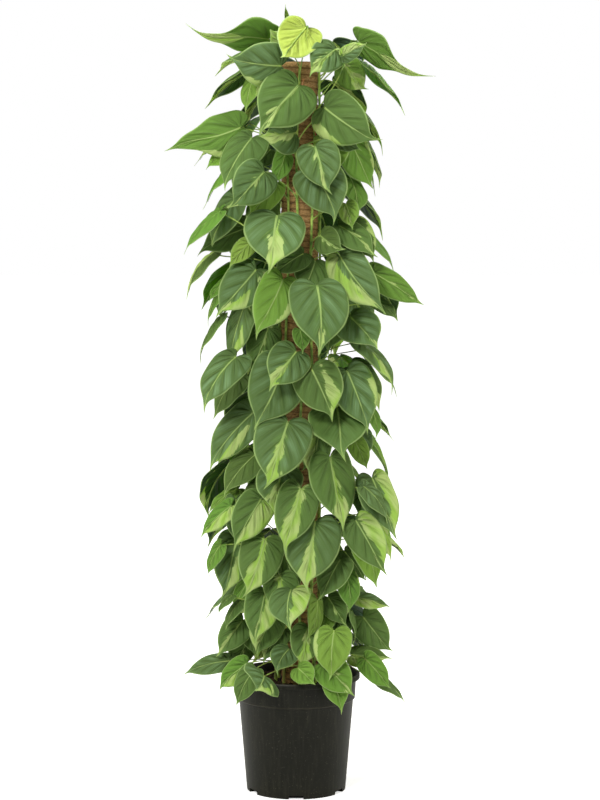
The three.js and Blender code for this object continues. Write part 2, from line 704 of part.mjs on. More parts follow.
// The stalk with its clearance, from the stem to the blade.
function stalkSheath(leaf, curve) {
  const radius = STALK_RADIUS + CLEARANCE;
  const socket = SOCKET.map(([u, v]) => bladePoint(leaf, u / leaf.length, v / leaf.width, 0));
  const rings = [socket, ...stalkRings(leaf, curve, radius)];
  const index = [];
  for (let i = 0; i < rings.length - 1; i++) {
    joinRings(index, [3 * i, 3 * i + 1, 3 * i + 2], [3 * i + 3, 3 * i + 4, 3 * i + 5]);
  }
  const geometry = new THREE.BufferGeometry().setFromPoints(rings.flat());
  geometry.setIndex(index);
  return geometry;
}

// A leafy stem: the climbing stem with its leaves grown into it.
function makeLeafyStem(stem, leaves) {
  let body = solid(makeStem(stem));
  for (const { leaf, curve } of leaves) {
    const rings = stalkRings(leaf, curve, STALK_RADIUS);
    body = body.add(solid(leafGeometry(leaf, BLADE_THICKNESS, rings)));
  }
  return geometryOf(body);
}

function finish(color, roughness) {
  return new THREE.MeshStandardMaterial({ color, roughness, metalness: 0 });
}

function named(name, geometry, material) {
  const mesh = new THREE.Mesh(geometry, material);
  mesh.name = name;
  return mesh;
}

const group = new THREE.Group();
group.add(named("nursery_pot", makePot(), finish(0x26271f, 0.45)));
group.add(named("potting_soil", makeSoil(), finish(0x3d2b1c, 0.95)));
group.add(named("pole_core", makeCore(), finish(0x8a6a45, 0.8)));
group.add(named("pole_coir", makeCoir(), finish(0x7a4e2b, 0.95)));
growLeaves().forEach((leaves, stem) => {
  const green = finish(stem % 2 ? 0x5f8a3c : 0x4c7a3a, 0.5);
  group.add(named("leafy_stem_" + (stem + 1), makeLeafyStem(stem, leaves), green));
});

export default group;
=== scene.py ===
# A heartleaf philodendron on a coir pole in a black nursery pot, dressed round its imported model.
import math
import random

import bmesh
import bpy
import numpy as np
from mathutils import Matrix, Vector, kdtree


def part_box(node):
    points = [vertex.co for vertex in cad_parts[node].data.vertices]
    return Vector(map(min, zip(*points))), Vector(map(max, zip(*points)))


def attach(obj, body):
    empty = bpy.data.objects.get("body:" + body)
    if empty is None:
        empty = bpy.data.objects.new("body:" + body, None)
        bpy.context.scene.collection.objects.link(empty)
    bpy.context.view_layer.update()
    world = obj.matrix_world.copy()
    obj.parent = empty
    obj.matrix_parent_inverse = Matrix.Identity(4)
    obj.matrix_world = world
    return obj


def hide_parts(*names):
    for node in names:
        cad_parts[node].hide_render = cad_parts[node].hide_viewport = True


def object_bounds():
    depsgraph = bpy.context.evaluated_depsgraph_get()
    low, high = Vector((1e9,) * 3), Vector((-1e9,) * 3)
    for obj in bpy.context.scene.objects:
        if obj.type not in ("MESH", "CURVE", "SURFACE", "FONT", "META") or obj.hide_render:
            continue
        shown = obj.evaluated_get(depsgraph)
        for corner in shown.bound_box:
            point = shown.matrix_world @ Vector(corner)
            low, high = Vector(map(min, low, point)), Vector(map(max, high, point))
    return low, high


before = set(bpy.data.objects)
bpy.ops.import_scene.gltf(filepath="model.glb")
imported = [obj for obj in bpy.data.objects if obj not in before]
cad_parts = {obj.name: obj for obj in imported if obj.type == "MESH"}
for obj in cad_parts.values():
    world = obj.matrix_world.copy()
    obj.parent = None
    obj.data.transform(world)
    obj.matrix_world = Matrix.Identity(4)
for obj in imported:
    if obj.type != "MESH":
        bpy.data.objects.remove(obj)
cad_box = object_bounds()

scene = bpy.context.scene

# Nursery pot: a thin shell moulded in black polypropylene, with a rolled lip, a stacking ledge, a
# foot ring cut by six drainage notches, and a raised floor with a drain hole behind each notch.
# It stands on its foot ring, and is dusty and slightly scuffed.
POT_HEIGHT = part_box("nursery_pot")[1].z
LIP_RADIUS = 0.133
FOOT_RADIUS = 0.103
POT_WALL = 0.0022
POT_LEDGE = POT_HEIGHT - 0.052
POT_LIP = POT_HEIGHT - 0.011
POT_FLOOR = 0.009
UPPER_RADIUS = LIP_RADIUS - 0.010
UPPER_FLARE = 0.003
LEDGE_STEP = 0.0035
FOOT_SLANT = 0.006
NOTCH_COUNT = 6
NOTCH_WIDTH = 0.030
NOTCH_HEIGHT = 0.008
NOTCH_DEPTH = 0.024
DRAIN_RING = 0.078
DRAIN_RADIUS = 0.006
DRAIN_DEPTH = 0.02
# The rolled lip, from its underside round to its inside: inset from its edge, drop from its top.
LIP_LINE = [(0.001, 0.011), (0, 0.010), (0, 0.003), (0.0012, 0.0008)]
LIP_LINE += [(0.003, 0), (0.006, 0.0006), (0.0075, 0.003)]


def deselect():
    for thing in bpy.context.selected_objects:
        thing.select_set(False)


def pick(piece):
    """Makes a piece the one that the next operator works on."""
    deselect()
    piece.select_set(True)
    bpy.context.view_layer.objects.active = piece


def apply_modifier(piece, modifier):
    pick(piece)
    bpy.ops.object.modifier_apply(modifier=modifier.name)


def apply_place():
    """Takes the place, turn and size of what is selected into its mesh."""
    bpy.ops.object.transform_apply(location=True, rotation=True, scale=True)


def own_mesh(name):
    """The active object, named, with its place in its mesh."""
    piece = bpy.context.active_object
    piece.name = name
    piece.data.name = name
    apply_place()
    return piece


def pot_radius(z):
    """The outside of the tapered wall, which stands out above the ledge."""
    if z < POT_LEDGE:
        return FOOT_RADIUS + (UPPER_RADIUS - LEDGE_STEP - FOOT_RADIUS) * z / POT_LEDGE
    return UPPER_RADIUS + UPPER_FLARE * (z - POT_LEDGE) / (POT_HEIGHT - POT_LEDGE)


def pull_ring(radius_from, radius_to, rise, aside=0.0):
    """Extrudes the selected ring up by rise, along by aside, and out or in to a new radius."""
    bpy.ops.mesh.extrude_region_move(TRANSFORM_OT_translate={"value": (aside, 0, rise)})
    ratio = radius_to / radius_from
    bpy.ops.transform.resize(value=(ratio, ratio, 1))


def select_open_edges(least_radius=0.0):
    """In edit mode, selects the open edges that lie at least this far from the pot's axis."""
    data = bpy.context.edit_object.data
    bpy.ops.mesh.select_all(action="DESELECT")
    shape = bmesh.from_edit_mesh(data)
    for edge in shape.edges:
        outer = all(math.hypot(v.co.x, v.co.y) >= least_radius for v in edge.verts)
        edge.select = edge.is_boundary and outer
    bmesh.update_edit_mesh(data)


def close_shape():
    """Turns all faces outwards and leaves edit mode."""
    bpy.ops.mesh.select_all(action="SELECT")
    bpy.ops.mesh.normals_make_consistent(inside=False)
    bpy.ops.object.mode_set(mode="OBJECT")


foot = [(FOOT_RADIUS - POT_WALL, 0.0), (FOOT_RADIUS, 0.0), (FOOT_RADIUS + 0.0002, 0.0012)]
wall = [(pot_radius(z), z) for z in (0.06, 0.12, POT_LEDGE - 0.0035)]
ledge = [
    (pot_radius(POT_LEDGE - 0.002) + 0.0004, POT_LEDGE - 0.0018),
    (pot_radius(POT_LEDGE) - 0.0012, POT_LEDGE - 0.0006),
    (pot_radius(POT_LEDGE), POT_LEDGE + 0.0006),
]
lip = [(pot_radius(POT_LIP) - 0.0002, POT_LIP - 0.001), (pot_radius(POT_LIP) + 0.0006, POT_LIP)]
lip += [(LIP_RADIUS - inset, POT_HEIGHT - drop) for inset, drop in LIP_LINE]
inside = [
    (pot_radius(POT_LIP) - POT_WALL, POT_LIP),
    (pot_radius(POT_LEDGE) - POT_WALL, POT_LEDGE),
    (pot_radius(POT_LEDGE - 0.004) - POT_WALL, POT_LEDGE - 0.002),
    (FOOT_RADIUS - POT_WALL, POT_FLOOR + POT_WALL),
    (0.03, POT_FLOOR + POT_WALL),
]
rings = foot + wall + ledge + lip + inside
deselect()
bpy.ops.mesh.primitive_circle_add(vertices=128, radius=rings[0][0], location=(0, 0, 0))
bpy.ops.object.mode_set(mode="EDIT")
for (r0, z0), (r1, z1) in zip(rings, rings[1:]):
    pull_ring(r0, r1, z1 - z0)
bpy.ops.mesh.edge_face_add()
select_open_edges()
pull_ring(rings[0][0], FOOT_RADIUS - FOOT_SLANT, POT_FLOOR)
bpy.ops.mesh.edge_face_add()
close_shape()
pot = own_mesh("pot_shell")

cutters = []
for i in range(NOTCH_COUNT):
    turn = -math.pi / 2 + i * 2 * math.pi / NOTCH_COUNT
    where = (FOOT_RADIUS * math.cos(turn), FOOT_RADIUS * math.sin(turn), 0)
    deselect()
    bpy.ops.mesh.primitive_cube_add(size=1, location=where, rotation=(0, 0, turn))
    notch = bpy.context.active_object
    notch.scale = (NOTCH_DEPTH, NOTCH_WIDTH, 2 * NOTCH_HEIGHT)
    apply_place()
    cutters.append(notch)
    drain = (DRAIN_RING * math.cos(turn), DRAIN_RING * math.sin(turn), POT_FLOOR)
    bpy.ops.mesh.primitive_cylinder_add(
        vertices=24, radius=DRAIN_RADIUS, depth=DRAIN_DEPTH, location=drain
    )
    apply_place()
    cutters.append(bpy.context.active_object)
for cutter in cutters:
    cut = pot.modifiers.new("drain", "BOOLEAN")
    cut.operation = "DIFFERENCE"
    cut.solver = "EXACT"
    cut.object = cutter
    apply_modifier(pot, cut)
    bpy.data.objects.remove(cutter)
bpy.ops.object.shade_smooth_by_angle(angle=math.radians(32))


class Wire:
    """One output of a shader node, so that shader maths is written as sums of wires and numbers."""

    def __init__(self, tree, socket=None):
        self.tree = tree
        self.socket = socket

    def feed(self, socket, value):
        """Links a wire to the socket or sets its value; a colour gets its alpha of 1."""
        if isinstance(value, Wire):
            self.tree.links.new(value.socket, socket)
        elif socket.type == "RGBA":
            socket.default_value = (*value, 1)
        else:
            socket.default_value = value

    def node(self, kind, settings=None, sockets=None, out=0):
        made = self.tree.nodes.new(kind)
        for name, value in (settings or {}).items():
            setattr(made, name, value)
        for name, value in (sockets or {}).items():
            self.feed(made.inputs[name], value)
        return Wire(self.tree, made.outputs[out])

    def maths(self, operation, *values):
        return self.node("ShaderNodeMath", {"operation": operation}, dict(enumerate(values)))

    def __add__(self, other):
        return self.maths("ADD", self, other)

    __radd__ = __add__

    def __sub__(self, other):
        return self.maths("SUBTRACT", self, other)

    def __rsub__(self, other):
        return self.maths("SUBTRACT", other, self)

    def __mul__(self, other):
        return self.maths("MULTIPLY", self, other)

    __rmul__ = __mul__

    def sine(self):
        return self.maths("SINE", self)

    def size(self):
        return self.maths("ABSOLUTE", self)

    def step(self, low, high):
        """0 at low, 1 at high, smooth between and level beyond; low may be the larger."""
        if low > high:
            return 1 - self.step(high, low)
        settings = {"interpolation_type": "SMOOTHSTEP"}
        sockets = {"Value": self, "From Min": low, "From Max": high}
        return self.node("ShaderNodeMapRange", settings, sockets)

    def mixed(self, other, amount):
        """This colour, turned into the other by amount."""
        return self.blend(self, other, amount)

    def blend(self, first, second, amount):
        sockets = {0: amount, 6: first, 7: second}
        return self.node("ShaderNodeMix", {"data_type": "RGBA"}, sockets, out=2)

    def parts(self):
        split = self.node("ShaderNodeSeparateXYZ", sockets={0: self})
        return [Wire(self.tree, part) for part in split.socket.node.outputs]

    def scaled(self, x, y, z):
        return self.node("ShaderNodeVectorMath", {"operation": "MULTIPLY"}, {0: self, 1: (x, y, z)})

    def noise(self, scale, detail, rough):
        sockets = {"Vector": self, "Scale": scale, "Detail": detail, "Roughness": rough}
        return self.node("ShaderNodeTexNoise", sockets=sockets)


class Finish:
    """A material in the making: its tree, where its patterns lie, and its Principled shader."""

    def __init__(self, name):
        self.material = bpy.data.materials.new(name)
        self.material.use_nodes = True
        self.tree = self.material.node_tree
        self.shader = self.tree.nodes["Principled BSDF"]
        self.wire = Wire(self.tree)
        self.place = self.wire.node("ShaderNodeTexCoord", out=3)

    def attribute(self, name, out=1):
        return self.wire.node("ShaderNodeAttribute", {"attribute_name": name}, out=out)

    def blend(self, first, second, amount):
        """A colour between two colours."""
        return self.wire.blend(first, second, amount)

    def set(self, **inputs):
        for name, value in inputs.items():
            self.wire.feed(self.shader.inputs[name.replace("_", " ")], value)

    def bump(self, height, strength, distance):
        sockets = {"Height": height, "Strength": strength, "Distance": distance}
        self.set(Normal=self.wire.node("ShaderNodeBump", sockets=sockets))


plastic = Finish("black_pot_plastic")
z = plastic.place.parts()[2]
cloud = plastic.place.scaled(1, 1, 0.35).noise(14, 4, 0.6)
speck = plastic.place.noise(300, 2, 0.6).step(0.64, 0.70)
streak = plastic.place.scaled(1, 1, 0.06).noise(160, 3, 0.6)
dust = (z.step(0.05, 0.0) * 0.5 + z.step(POT_HEIGHT - 0.02, POT_HEIGHT) * 0.4 + 0.25) * cloud
rubbed_ledge = (z - POT_LEDGE).size().step(0.0030, 0.0008)
rubbed_lip = (z - POT_HEIGHT).step(-0.004, -0.001)
worn = dust * 0.26 + speck * 0.42 + streak.step(0.45, 0.75) * 0.12
worn = worn + (rubbed_ledge + rubbed_lip) * 0.25
black = (0.0066, 0.0070, 0.0042)
dusty = (0.075, 0.070, 0.048)
plastic.set(Base_Color=plastic.blend(black, dusty, worn))
plastic.set(Roughness=0.36 + cloud * 0.14 + speck * 0.2, Specular_IOR_Level=0.17)
plastic.bump(streak * 0.5 + speck * 0.5 + cloud * 0.3, 0.35, 0.0004)
pot.data.materials.append(plastic.material)
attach(pot, "root")
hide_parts("nursery_pot")

# Potting soil: dark peat mixed with bark bits and crumbs, pressed by hand round the pole and the
# stems. Its lumpy top lies just under the pot's lip; the peat below it shows nowhere.
SOIL_TOP = POT_HEIGHT - 0.018
SOIL_RADIUS = pot_radius(SOIL_TOP) - POT_WALL - 0.0012
SOIL_RINGS = 30
SOIL_INSIDE_DEPTH = 0.030
SOIL_OUTSIDE_DEPTH = 0.026
POLE_X = 0.007
COIR_RADIUS = 0.038
CRUMB_COUNT = 520
soil_dice = random.Random(11)


def soil_rise(x, y):
    swell = 0.0022 * np.sin(x * 71 + 1.3) * np.cos(y * 83)
    return swell + 0.0016 * np.sin(y * 170 - x * 110)


def read_corners(piece):
    """The piece's corners as rows of x, y, z."""
    place = np.zeros(len(piece.data.vertices) * 3)
    piece.data.vertices.foreach_get("co", place)
    return place.reshape(-1, 3)


def join(pieces):
    """Joins the pieces into the first of them."""
    pick(pieces[0])
    for piece in pieces[1:]:
        piece.select_set(True)
    bpy.ops.object.join()
    return pieces[0]


deselect()
bpy.ops.mesh.primitive_circle_add(vertices=120, radius=SOIL_RADIUS, location=(0, 0, SOIL_TOP))
bpy.ops.object.mode_set(mode="EDIT")
ring = SOIL_RADIUS
for i in range(SOIL_RINGS):
    narrow = SOIL_RADIUS - (SOIL_RADIUS - COIR_RADIUS - 0.002) * (i + 1) / SOIL_RINGS
    pull_ring(ring, narrow, 0, POLE_X / SOIL_RINGS)
    ring = narrow
pull_ring(ring, ring, -SOIL_INSIDE_DEPTH)
bpy.ops.object.mode_set(mode="OBJECT")
soil = own_mesh("soil_bed")
place = read_corners(soil)
top = place[:, 2] > SOIL_TOP - 0.01
grain = np.array([soil_dice.gauss(0, 0.0009) for _ in place])
place[:, 2] += top * (soil_rise(place[:, 0], place[:, 1]) + grain)
edge = np.hypot(place[:, 0], place[:, 1]) > SOIL_RADIUS - 0.001
place[edge, 2] -= 0.004
soil.data.vertices.foreach_set("co", place.ravel())
bpy.ops.object.mode_set(mode="EDIT")
select_open_edges(SOIL_RADIUS - 0.001)
pull_ring(SOIL_RADIUS, SOIL_RADIUS - 0.003, -SOIL_OUTSIDE_DEPTH)
select_open_edges()
bpy.ops.mesh.bridge_edge_loops()
close_shape()
bpy.ops.object.shade_smooth()

deselect()
bpy.ops.mesh.primitive_ico_sphere_add(subdivisions=1, radius=1)
chip = bpy.context.active_object
crumbs = []
for i in range(CRUMB_COUNT):
    turn = soil_dice.uniform(0, 2 * math.pi)
    r = math.sqrt(soil_dice.uniform(0.20, 1.0)) * (SOIL_RADIUS - 0.004)
    at = (r * math.cos(turn), r * math.sin(turn))
    if math.hypot(at[0] - POLE_X, at[1]) < COIR_RADIUS + 0.004:
        continue
    size = soil_dice.uniform(0.0012, 0.0032) * (2.2 if i % 9 == 0 else 1)
    bit = chip.copy()
    bit.data = chip.data.copy()
    for corner in bit.data.vertices:
        corner.co *= soil_dice.uniform(0.75, 1.2)
    bit.scale = (size * 1.6, size, size * 0.6)
    bit.rotation_euler = [soil_dice.uniform(-0.5, 0.5), soil_dice.uniform(-0.5, 0.5), turn * 7]
    bit.location = (*at, SOIL_TOP + float(soil_rise(*np.array(at))) + size * 0.2)
    scene.collection.objects.link(bit)
    crumbs.append(bit)
bpy.data.objects.remove(chip)
join([soil, *crumbs])
apply_place()

peat = Finish("peat_and_bark")
lump = peat.place.noise(60, 6, 0.65)
fine = peat.place.noise(700, 3, 0.7)
bark = peat.place.noise(150, 2, 0.5).step(0.56, 0.66)
dark_peat = (0.012, 0.0065, 0.0035)
brown_peat = (0.060, 0.030, 0.014)
pale_bark = (0.19, 0.105, 0.05)
earth = peat.blend(dark_peat, brown_peat, lump.step(0.35, 0.7))
peat.set(Base_Color=earth.mixed(pale_bark, bark * fine * 0.7), Roughness=0.92, Specular_IOR_Level=0.2)
peat.bump(lump + fine * 0.6, 0.9, 0.0015)
soil.data.materials.append(peat.material)
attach(soil, "root")
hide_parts("potting_soil")

# Dry scraps: three small leaves that the plant has shed. They have turned yellow and rusty, have
# curled as they dried, and lie loose on the soil inside the front of the rim.
SCRAPS = [(-0.004, -0.098, 0.4, 0.017), (0.026, -0.101, -0.5, 0.013), (-0.046, -0.088, 1.1, 0.015)]
SCRAP_THICKNESS = 0.0011
scraps = []
deselect()
for scrap_x, scrap_y, turn, long in SCRAPS:
    bpy.ops.mesh.primitive_uv_sphere_add(segments=20, ring_count=10, radius=1, location=(0, 0, 0))
    scrap = bpy.context.active_object
    for corner in scrap.data.vertices:
        across, along = corner.co.y, corner.co.x
        curl = (0.35 * across**2 + 0.12 * along**2) * long * 0.6
        corner.co.x = along * long
        corner.co.y = across * long * 0.42 * (1 - 0.35 * along)
        corner.co.z = corner.co.z * SCRAP_THICKNESS + curl
    scrap.rotation_euler = (0.25, 0.1, turn)
    scrap.location = (scrap_x, scrap_y, SOIL_TOP + 0.0012)
    apply_place()
    scraps.append(scrap)
join(scraps)
bpy.ops.object.shade_smooth()
scrap = own_mesh("dry_leaf_scraps")
dry_leaf = Finish("dry_leaf")
blotch = dry_leaf.place.noise(180, 4, 0.6)
straw_yellow = (0.62, 0.44, 0.10)
rust = (0.22, 0.10, 0.025)
dry_leaf.set(Base_Color=dry_leaf.blend(straw_yellow, rust, blotch.step(0.48, 0.66)), Roughness=0.7)
dry_leaf.bump(blotch, 0.6, 0.0008)
scrap.data.materials.append(dry_leaf.material)
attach(scrap, "root")

# Pole core: the sawn softwood stake inside the coir, pushed down to the pot's floor. Only its top
# end shows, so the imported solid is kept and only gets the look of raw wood.
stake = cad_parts["pole_core"]
wood = Finish("stake_softwood")
grain = wood.place.scaled(1, 1, 0.04).noise(240, 4, 0.6)
pale_wood = (0.42, 0.27, 0.13)
dark_wood = (0.20, 0.11, 0.05)
wood.set(Base_Color=wood.blend(pale_wood, dark_wood, grain.step(0.4, 0.65)), Roughness=0.75)
wood.bump(grain, 0.4, 0.0008)
stake.data.materials.clear()
stake.data.materials.append(wood.material)
for face in stake.data.polygons:
    face.material_index = 0

# Coir sleeve: coconut fibre felted and wound round the stake, bound with thread about every
# thirteen millimetres, which pinches it in, with stray fibres standing out of the felt.
COIR_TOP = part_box("pole_coir")[1].z
COIR_BOTTOM = SOIL_TOP - 0.028
CORE_RADIUS = 0.0145
THREAD_STEP = 0.013
BAND_STEP = 0.1
PINCHED_RADIUS = 0.0362
TOP_ROUNDING = 0.006
FIBRE_COUNT = 5200
FIBRE_RADIUS = 0.0372
FIBRE_KNOTS = 4
FIBRE_SIDES = 3
coir_dice = random.Random(5)
coir_length = COIR_TOP - COIR_BOTTOM
middle = (POLE_X, 0, (COIR_TOP + COIR_BOTTOM) / 2)
deselect()
bpy.ops.mesh.primitive_cylinder_add(
    vertices=84, radius=COIR_RADIUS, depth=coir_length, end_fill_type="NOTHING", location=middle
)
bpy.ops.object.mode_set(mode="EDIT")
close_shape()
coir = own_mesh("coir_sleeve")
coir_mesh = bmesh.new()
coir_mesh.from_mesh(coir.data)
upright = [e for e in coir_mesh.edges if abs(e.verts[0].co.z - e.verts[1].co.z) > 0.1]
bmesh.ops.subdivide_edges(coir_mesh, edges=upright, cuts=430, use_grid_fill=True)
coir_mesh.to_mesh(coir.data)
coir_mesh.free()
place = read_corners(coir)
angle = np.arctan2(place[:, 1], place[:, 0] - POLE_X)
height = place[:, 2]
bound = np.cos(2 * np.pi * (height / THREAD_STEP + angle / (2 * np.pi)))
band = np.cos(2 * np.pi * (height - SOIL_TOP - 0.02) / BAND_STEP)
rough = np.sin(angle * 9 + height * 70) * np.sin(height * 310 + angle * 4)
rough = rough + np.sin(angle * 23 - height * 190)
puff = 0.0010 * np.sqrt(np.clip(bound + 1, 0, 2))
radius = PINCHED_RADIUS + puff - 0.0003 * band + 0.00028 * rough
radius -= 0.004 * np.clip((height - COIR_TOP + TOP_ROUNDING) / TOP_ROUNDING, 0, 1) ** 2
place[:, 0] = POLE_X + radius * np.cos(angle)
place[:, 1] = radius * np.sin(angle)
coir.data.vertices.foreach_set("co", place.ravel())
felt = coir.modifiers.new("felt", "SOLIDIFY")
felt.thickness = COIR_RADIUS - CORE_RADIUS - 0.004
felt.offset = -1
apply_modifier(coir, felt)
bpy.ops.object.shade_smooth()


def new_object(name, data):
    thing = bpy.data.objects.new(name, data)
    scene.collection.objects.link(thing)
    return thing


fibre_corners, fibre_faces = [], []
for i in range(FIBRE_COUNT):
    turn = coir_dice.uniform(0, 2 * math.pi)
    z0 = coir_dice.uniform(SOIL_TOP, COIR_TOP - 0.004)
    slope = coir_dice.gauss(0.15, 0.7)
    reach = coir_dice.uniform(0.008, 0.026)
    stand = coir_dice.uniform(0.0, 0.0022) * (1.6 if i % 7 == 0 else 0.6)
    thick = coir_dice.uniform(0.00010, 0.00021)
    first = len(fibre_corners)
    for k in range(FIBRE_KNOTS):
        s = k / (FIBRE_KNOTS - 1)
        a = turn + reach * s * math.cos(slope) / COIR_RADIUS
        z = z0 + reach * s * math.sin(slope)
        r = FIBRE_RADIUS + stand * math.sin(math.pi * s) + 0.0005 * s
        out = Vector((math.cos(a), math.sin(a), 0))
        centre = Vector((POLE_X, 0, min(z, COIR_TOP - 0.001))) + out * r
        fat = thick * (1.0 if 0 < k < FIBRE_KNOTS - 1 else 0.35)
        for c in range(FIBRE_SIDES):
            round_it = 2 * math.pi * c / FIBRE_SIDES
            side = out * math.cos(round_it) + Vector((0, 0, 1)) * math.sin(round_it)
            fibre_corners.append(centre + side * fat)
    for k in range(FIBRE_KNOTS - 1):
        for c in range(FIBRE_SIDES):
            here = first + FIBRE_SIDES * k + c
            beside = first + FIBRE_SIDES * k + (c + 1) % FIBRE_SIDES
            fibre_faces.append((here, beside, beside + FIBRE_SIDES, here + FIBRE_SIDES))
    last = first + FIBRE_SIDES * (FIBRE_KNOTS - 1)
    fibre_faces += [(first + 2, first + 1, first), (last, last + 1, last + 2)]
fibre_mesh = bpy.data.meshes.new("coir_fibres")
fibre_mesh.from_pydata(fibre_corners, [], fibre_faces)
fibres = new_object("coir_fibres", fibre_mesh)

coconut = Finish("coconut_fibre")
x, y, z = coconut.place.parts()
wrap = coconut.place.scaled(1, 1, 3.2).noise(190, 5, 0.7)
strand = coconut.place.scaled(1, 1, 7).noise(420, 3, 0.65)
patch = coconut.place.noise(26, 3, 0.6)
turn = coconut.wire.maths("ARCTAN2", y, x - POLE_X)
pinch = (z * (2 * math.pi / THREAD_STEP) + turn).sine().step(-0.35, -1.0) * wrap.step(0.3, 0.6)
deep_brown = (0.110, 0.054, 0.018)
warm_brown = (0.500, 0.290, 0.108)
light_brown = (0.74, 0.51, 0.25)
husk = coconut.blend(deep_brown, warm_brown, wrap.step(0.28, 0.58))
husk = husk.mixed(light_brown, strand.step(0.50, 0.78) * 0.8)
husk = husk.mixed(deep_brown, pinch * 0.75)
husk = husk.mixed(deep_brown, patch.step(0.52, 0.75) * 0.55)
coconut.set(Base_Color=husk, Roughness=0.9, Specular_IOR_Level=0.25)
coconut.bump(wrap + strand * 0.8, 0.9, 0.0012)
for fibrous in (coir, fibres):
    fibrous.data.materials.append(coconut.material)
    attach(fibrous, "root")
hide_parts("pole_coir")

# Climbing stems: nine round green stems, rooted in the soil, that lean in to the coir and weave
# their way up it. Each swells where a leaf stalk leaves it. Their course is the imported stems' own.
STEM_COUNT = 9
STEM_TOPS = [1.496, 1.440, 1.500, 1.380, 1.485, 1.300, 1.470, 1.410, 1.490]
STEM_TRACK = COIR_RADIUS + 0.004
STEM_STEP = 0.006
ROOT_TRACK = 0.050
ROOT_END = SOIL_TOP - 0.060
LEAN_HEIGHT = 0.150
STEM_RADIUS = 0.0031
STEM_TAPER = 0.0008
JOINT_SWELL = 0.28
JOINT_REACH = 0.0045


def stem_point(stem, z):
    climb = min(max((z - SOIL_TOP) / LEAN_HEIGHT, 0), 1)
    climb = climb * climb * (3 - 2 * climb)
    a = -math.pi / 2 + stem * 2 * math.pi / STEM_COUNT
    a += 0.14 * math.sin(z * 8.5 + stem * 2.1) * climb
    r = ROOT_TRACK + (STEM_TRACK - ROOT_TRACK) * climb
    return np.array([POLE_X + r * math.cos(a), r * math.sin(a), z])


def new_lines(name, sides):
    """An empty curve that is filled with round lines and then made a mesh."""
    data = bpy.data.curves.new(name, "CURVE")
    data.dimensions = "3D"
    data.bevel_depth = 1.0
    data.bevel_resolution = sides
    data.use_fill_caps = True
    return new_object(name, data)


def add_line(lines, points, radii):
    spline = lines.data.splines.new("POLY")
    spline.points.add(len(points) - 1)
    for knot, point, radius in zip(spline.points, points, radii):
        knot.co = (*point, 1)
        knot.radius = radius


def meshed(lines, finish):
    """The round lines as a smooth mesh with the finish on it."""
    pick(lines)
    bpy.ops.object.convert(target="MESH")
    bpy.ops.object.shade_smooth()
    lines = bpy.context.active_object
    lines.data.materials.append(finish.material)
    return lines


def add_stem(lines, stem, joints):
    """The stem's line, from its end in the soil to its tip, with a swelling at each joint."""
    heights = np.arange(ROOT_END, STEM_TOPS[stem], STEM_STEP)
    radii = []
    for z in heights:
        near = max(math.exp(-(((z - joint) / JOINT_REACH) ** 2)) for joint in joints)
        climbed = (z - ROOT_END) / (STEM_TOPS[stem] - ROOT_END)
        radii.append((STEM_RADIUS - STEM_TAPER * climbed) * (1 + JOINT_SWELL * near))
    add_line(lines, [stem_point(stem, z) for z in heights], radii)


green_stalk = Finish("green_stalk")
z = green_stalk.place.parts()[2]
tint = green_stalk.place.noise(38, 3, 0.6)
fine = green_stalk.place.scaled(1, 1, 0.3).noise(600, 2, 0.6)
fresh = (0.450, 0.620, 0.110)
shaded = (0.140, 0.290, 0.040)
rusty = (0.26, 0.13, 0.035)
ripe = z.step(1.25, 0.35) * tint.step(0.45, 0.65)
stalk_green = green_stalk.blend(fresh, shaded, tint.step(0.38, 0.62))
green_stalk.set(Base_Color=stalk_green.mixed(rusty, ripe * 0.5), Roughness=0.42 + fine * 0.15)
green_stalk.bump(fine, 0.2, 0.0003)

# Gripping roots: short brown air roots that leave the stems about every three centimetres, bend
# in to the coir and hold the plant to it. They are bark-brown, thin and taper to a point.
ROOT_STEP = 0.028
ROOT_RADIUS = 0.0009
ROOT_KNOTS = 6


def add_grip_roots(lines, stem):
    dice = random.Random(70 + stem)
    for z in np.arange(SOIL_TOP + 0.05, STEM_TOPS[stem] - 0.02, ROOT_STEP):
        z += dice.uniform(-0.01, 0.01)
        start = stem_point(stem, z)
        turn = math.atan2(start[1], start[0] - POLE_X)
        side = dice.choice((-1, 1))
        reach = dice.uniform(0.10, 0.42)
        drop = dice.uniform(-0.012, 0.008)
        knots, radii = [], []
        for s in np.linspace(0, 1, ROOT_KNOTS):
            a = turn + side * reach * s
            r = STEM_TRACK - (STEM_TRACK - COIR_RADIUS - 0.0002) * min(1, s * 3)
            knots.append((POLE_X + r * math.cos(a), r * math.sin(a), z + drop * s * s))
            radii.append(ROOT_RADIUS * (1 - 0.7 * s))
        add_line(lines, knots, radii)


root_bark = Finish("root_bark")
patchy = root_bark.place.noise(300, 4, 0.6)
tan = (0.16, 0.085, 0.035)
soot = (0.045, 0.022, 0.010)
root_bark.set(Base_Color=root_bark.blend(tan, soot, patchy.step(0.4, 0.65)), Roughness=0.85)
root_bark.bump(patchy, 0.6, 0.0006)

# Sheaths: the papery orange husks that once wrapped a new leaf. They stay on the stem at the
# joint, dry and pointed. Each is given by its stem, height, sideways lean and length.
SHEATHS = [(0, 1.425, 0.012, 0.048), (1, 1.357, -0.012, 0.055), (8, 0.735, -0.008, 0.040)]
SHEATH_RADIUS = 0.0014


def unit(vector):
    return vector / np.linalg.norm(vector)


def add_sheaths(lines, stem):
    s = np.linspace(0, 1, 9)[:, None]
    radii = 0.0004 + SHEATH_RADIUS * np.sin(np.pi * np.linspace(0.12, 1, 9))
    for owner, z, aside, long in SHEATHS:
        if owner == stem:
            foot = stem_point(stem, z)
            out = unit(np.array([foot[0] - POLE_X, foot[1], 0]))
            side = np.array([-out[1], out[0], 0])
            up = np.array([0, 0, 1])
            knots = foot + out * (0.0028 + 0.004 * s * s) + side * aside * s + up * long * s
            add_line(lines, knots, radii)


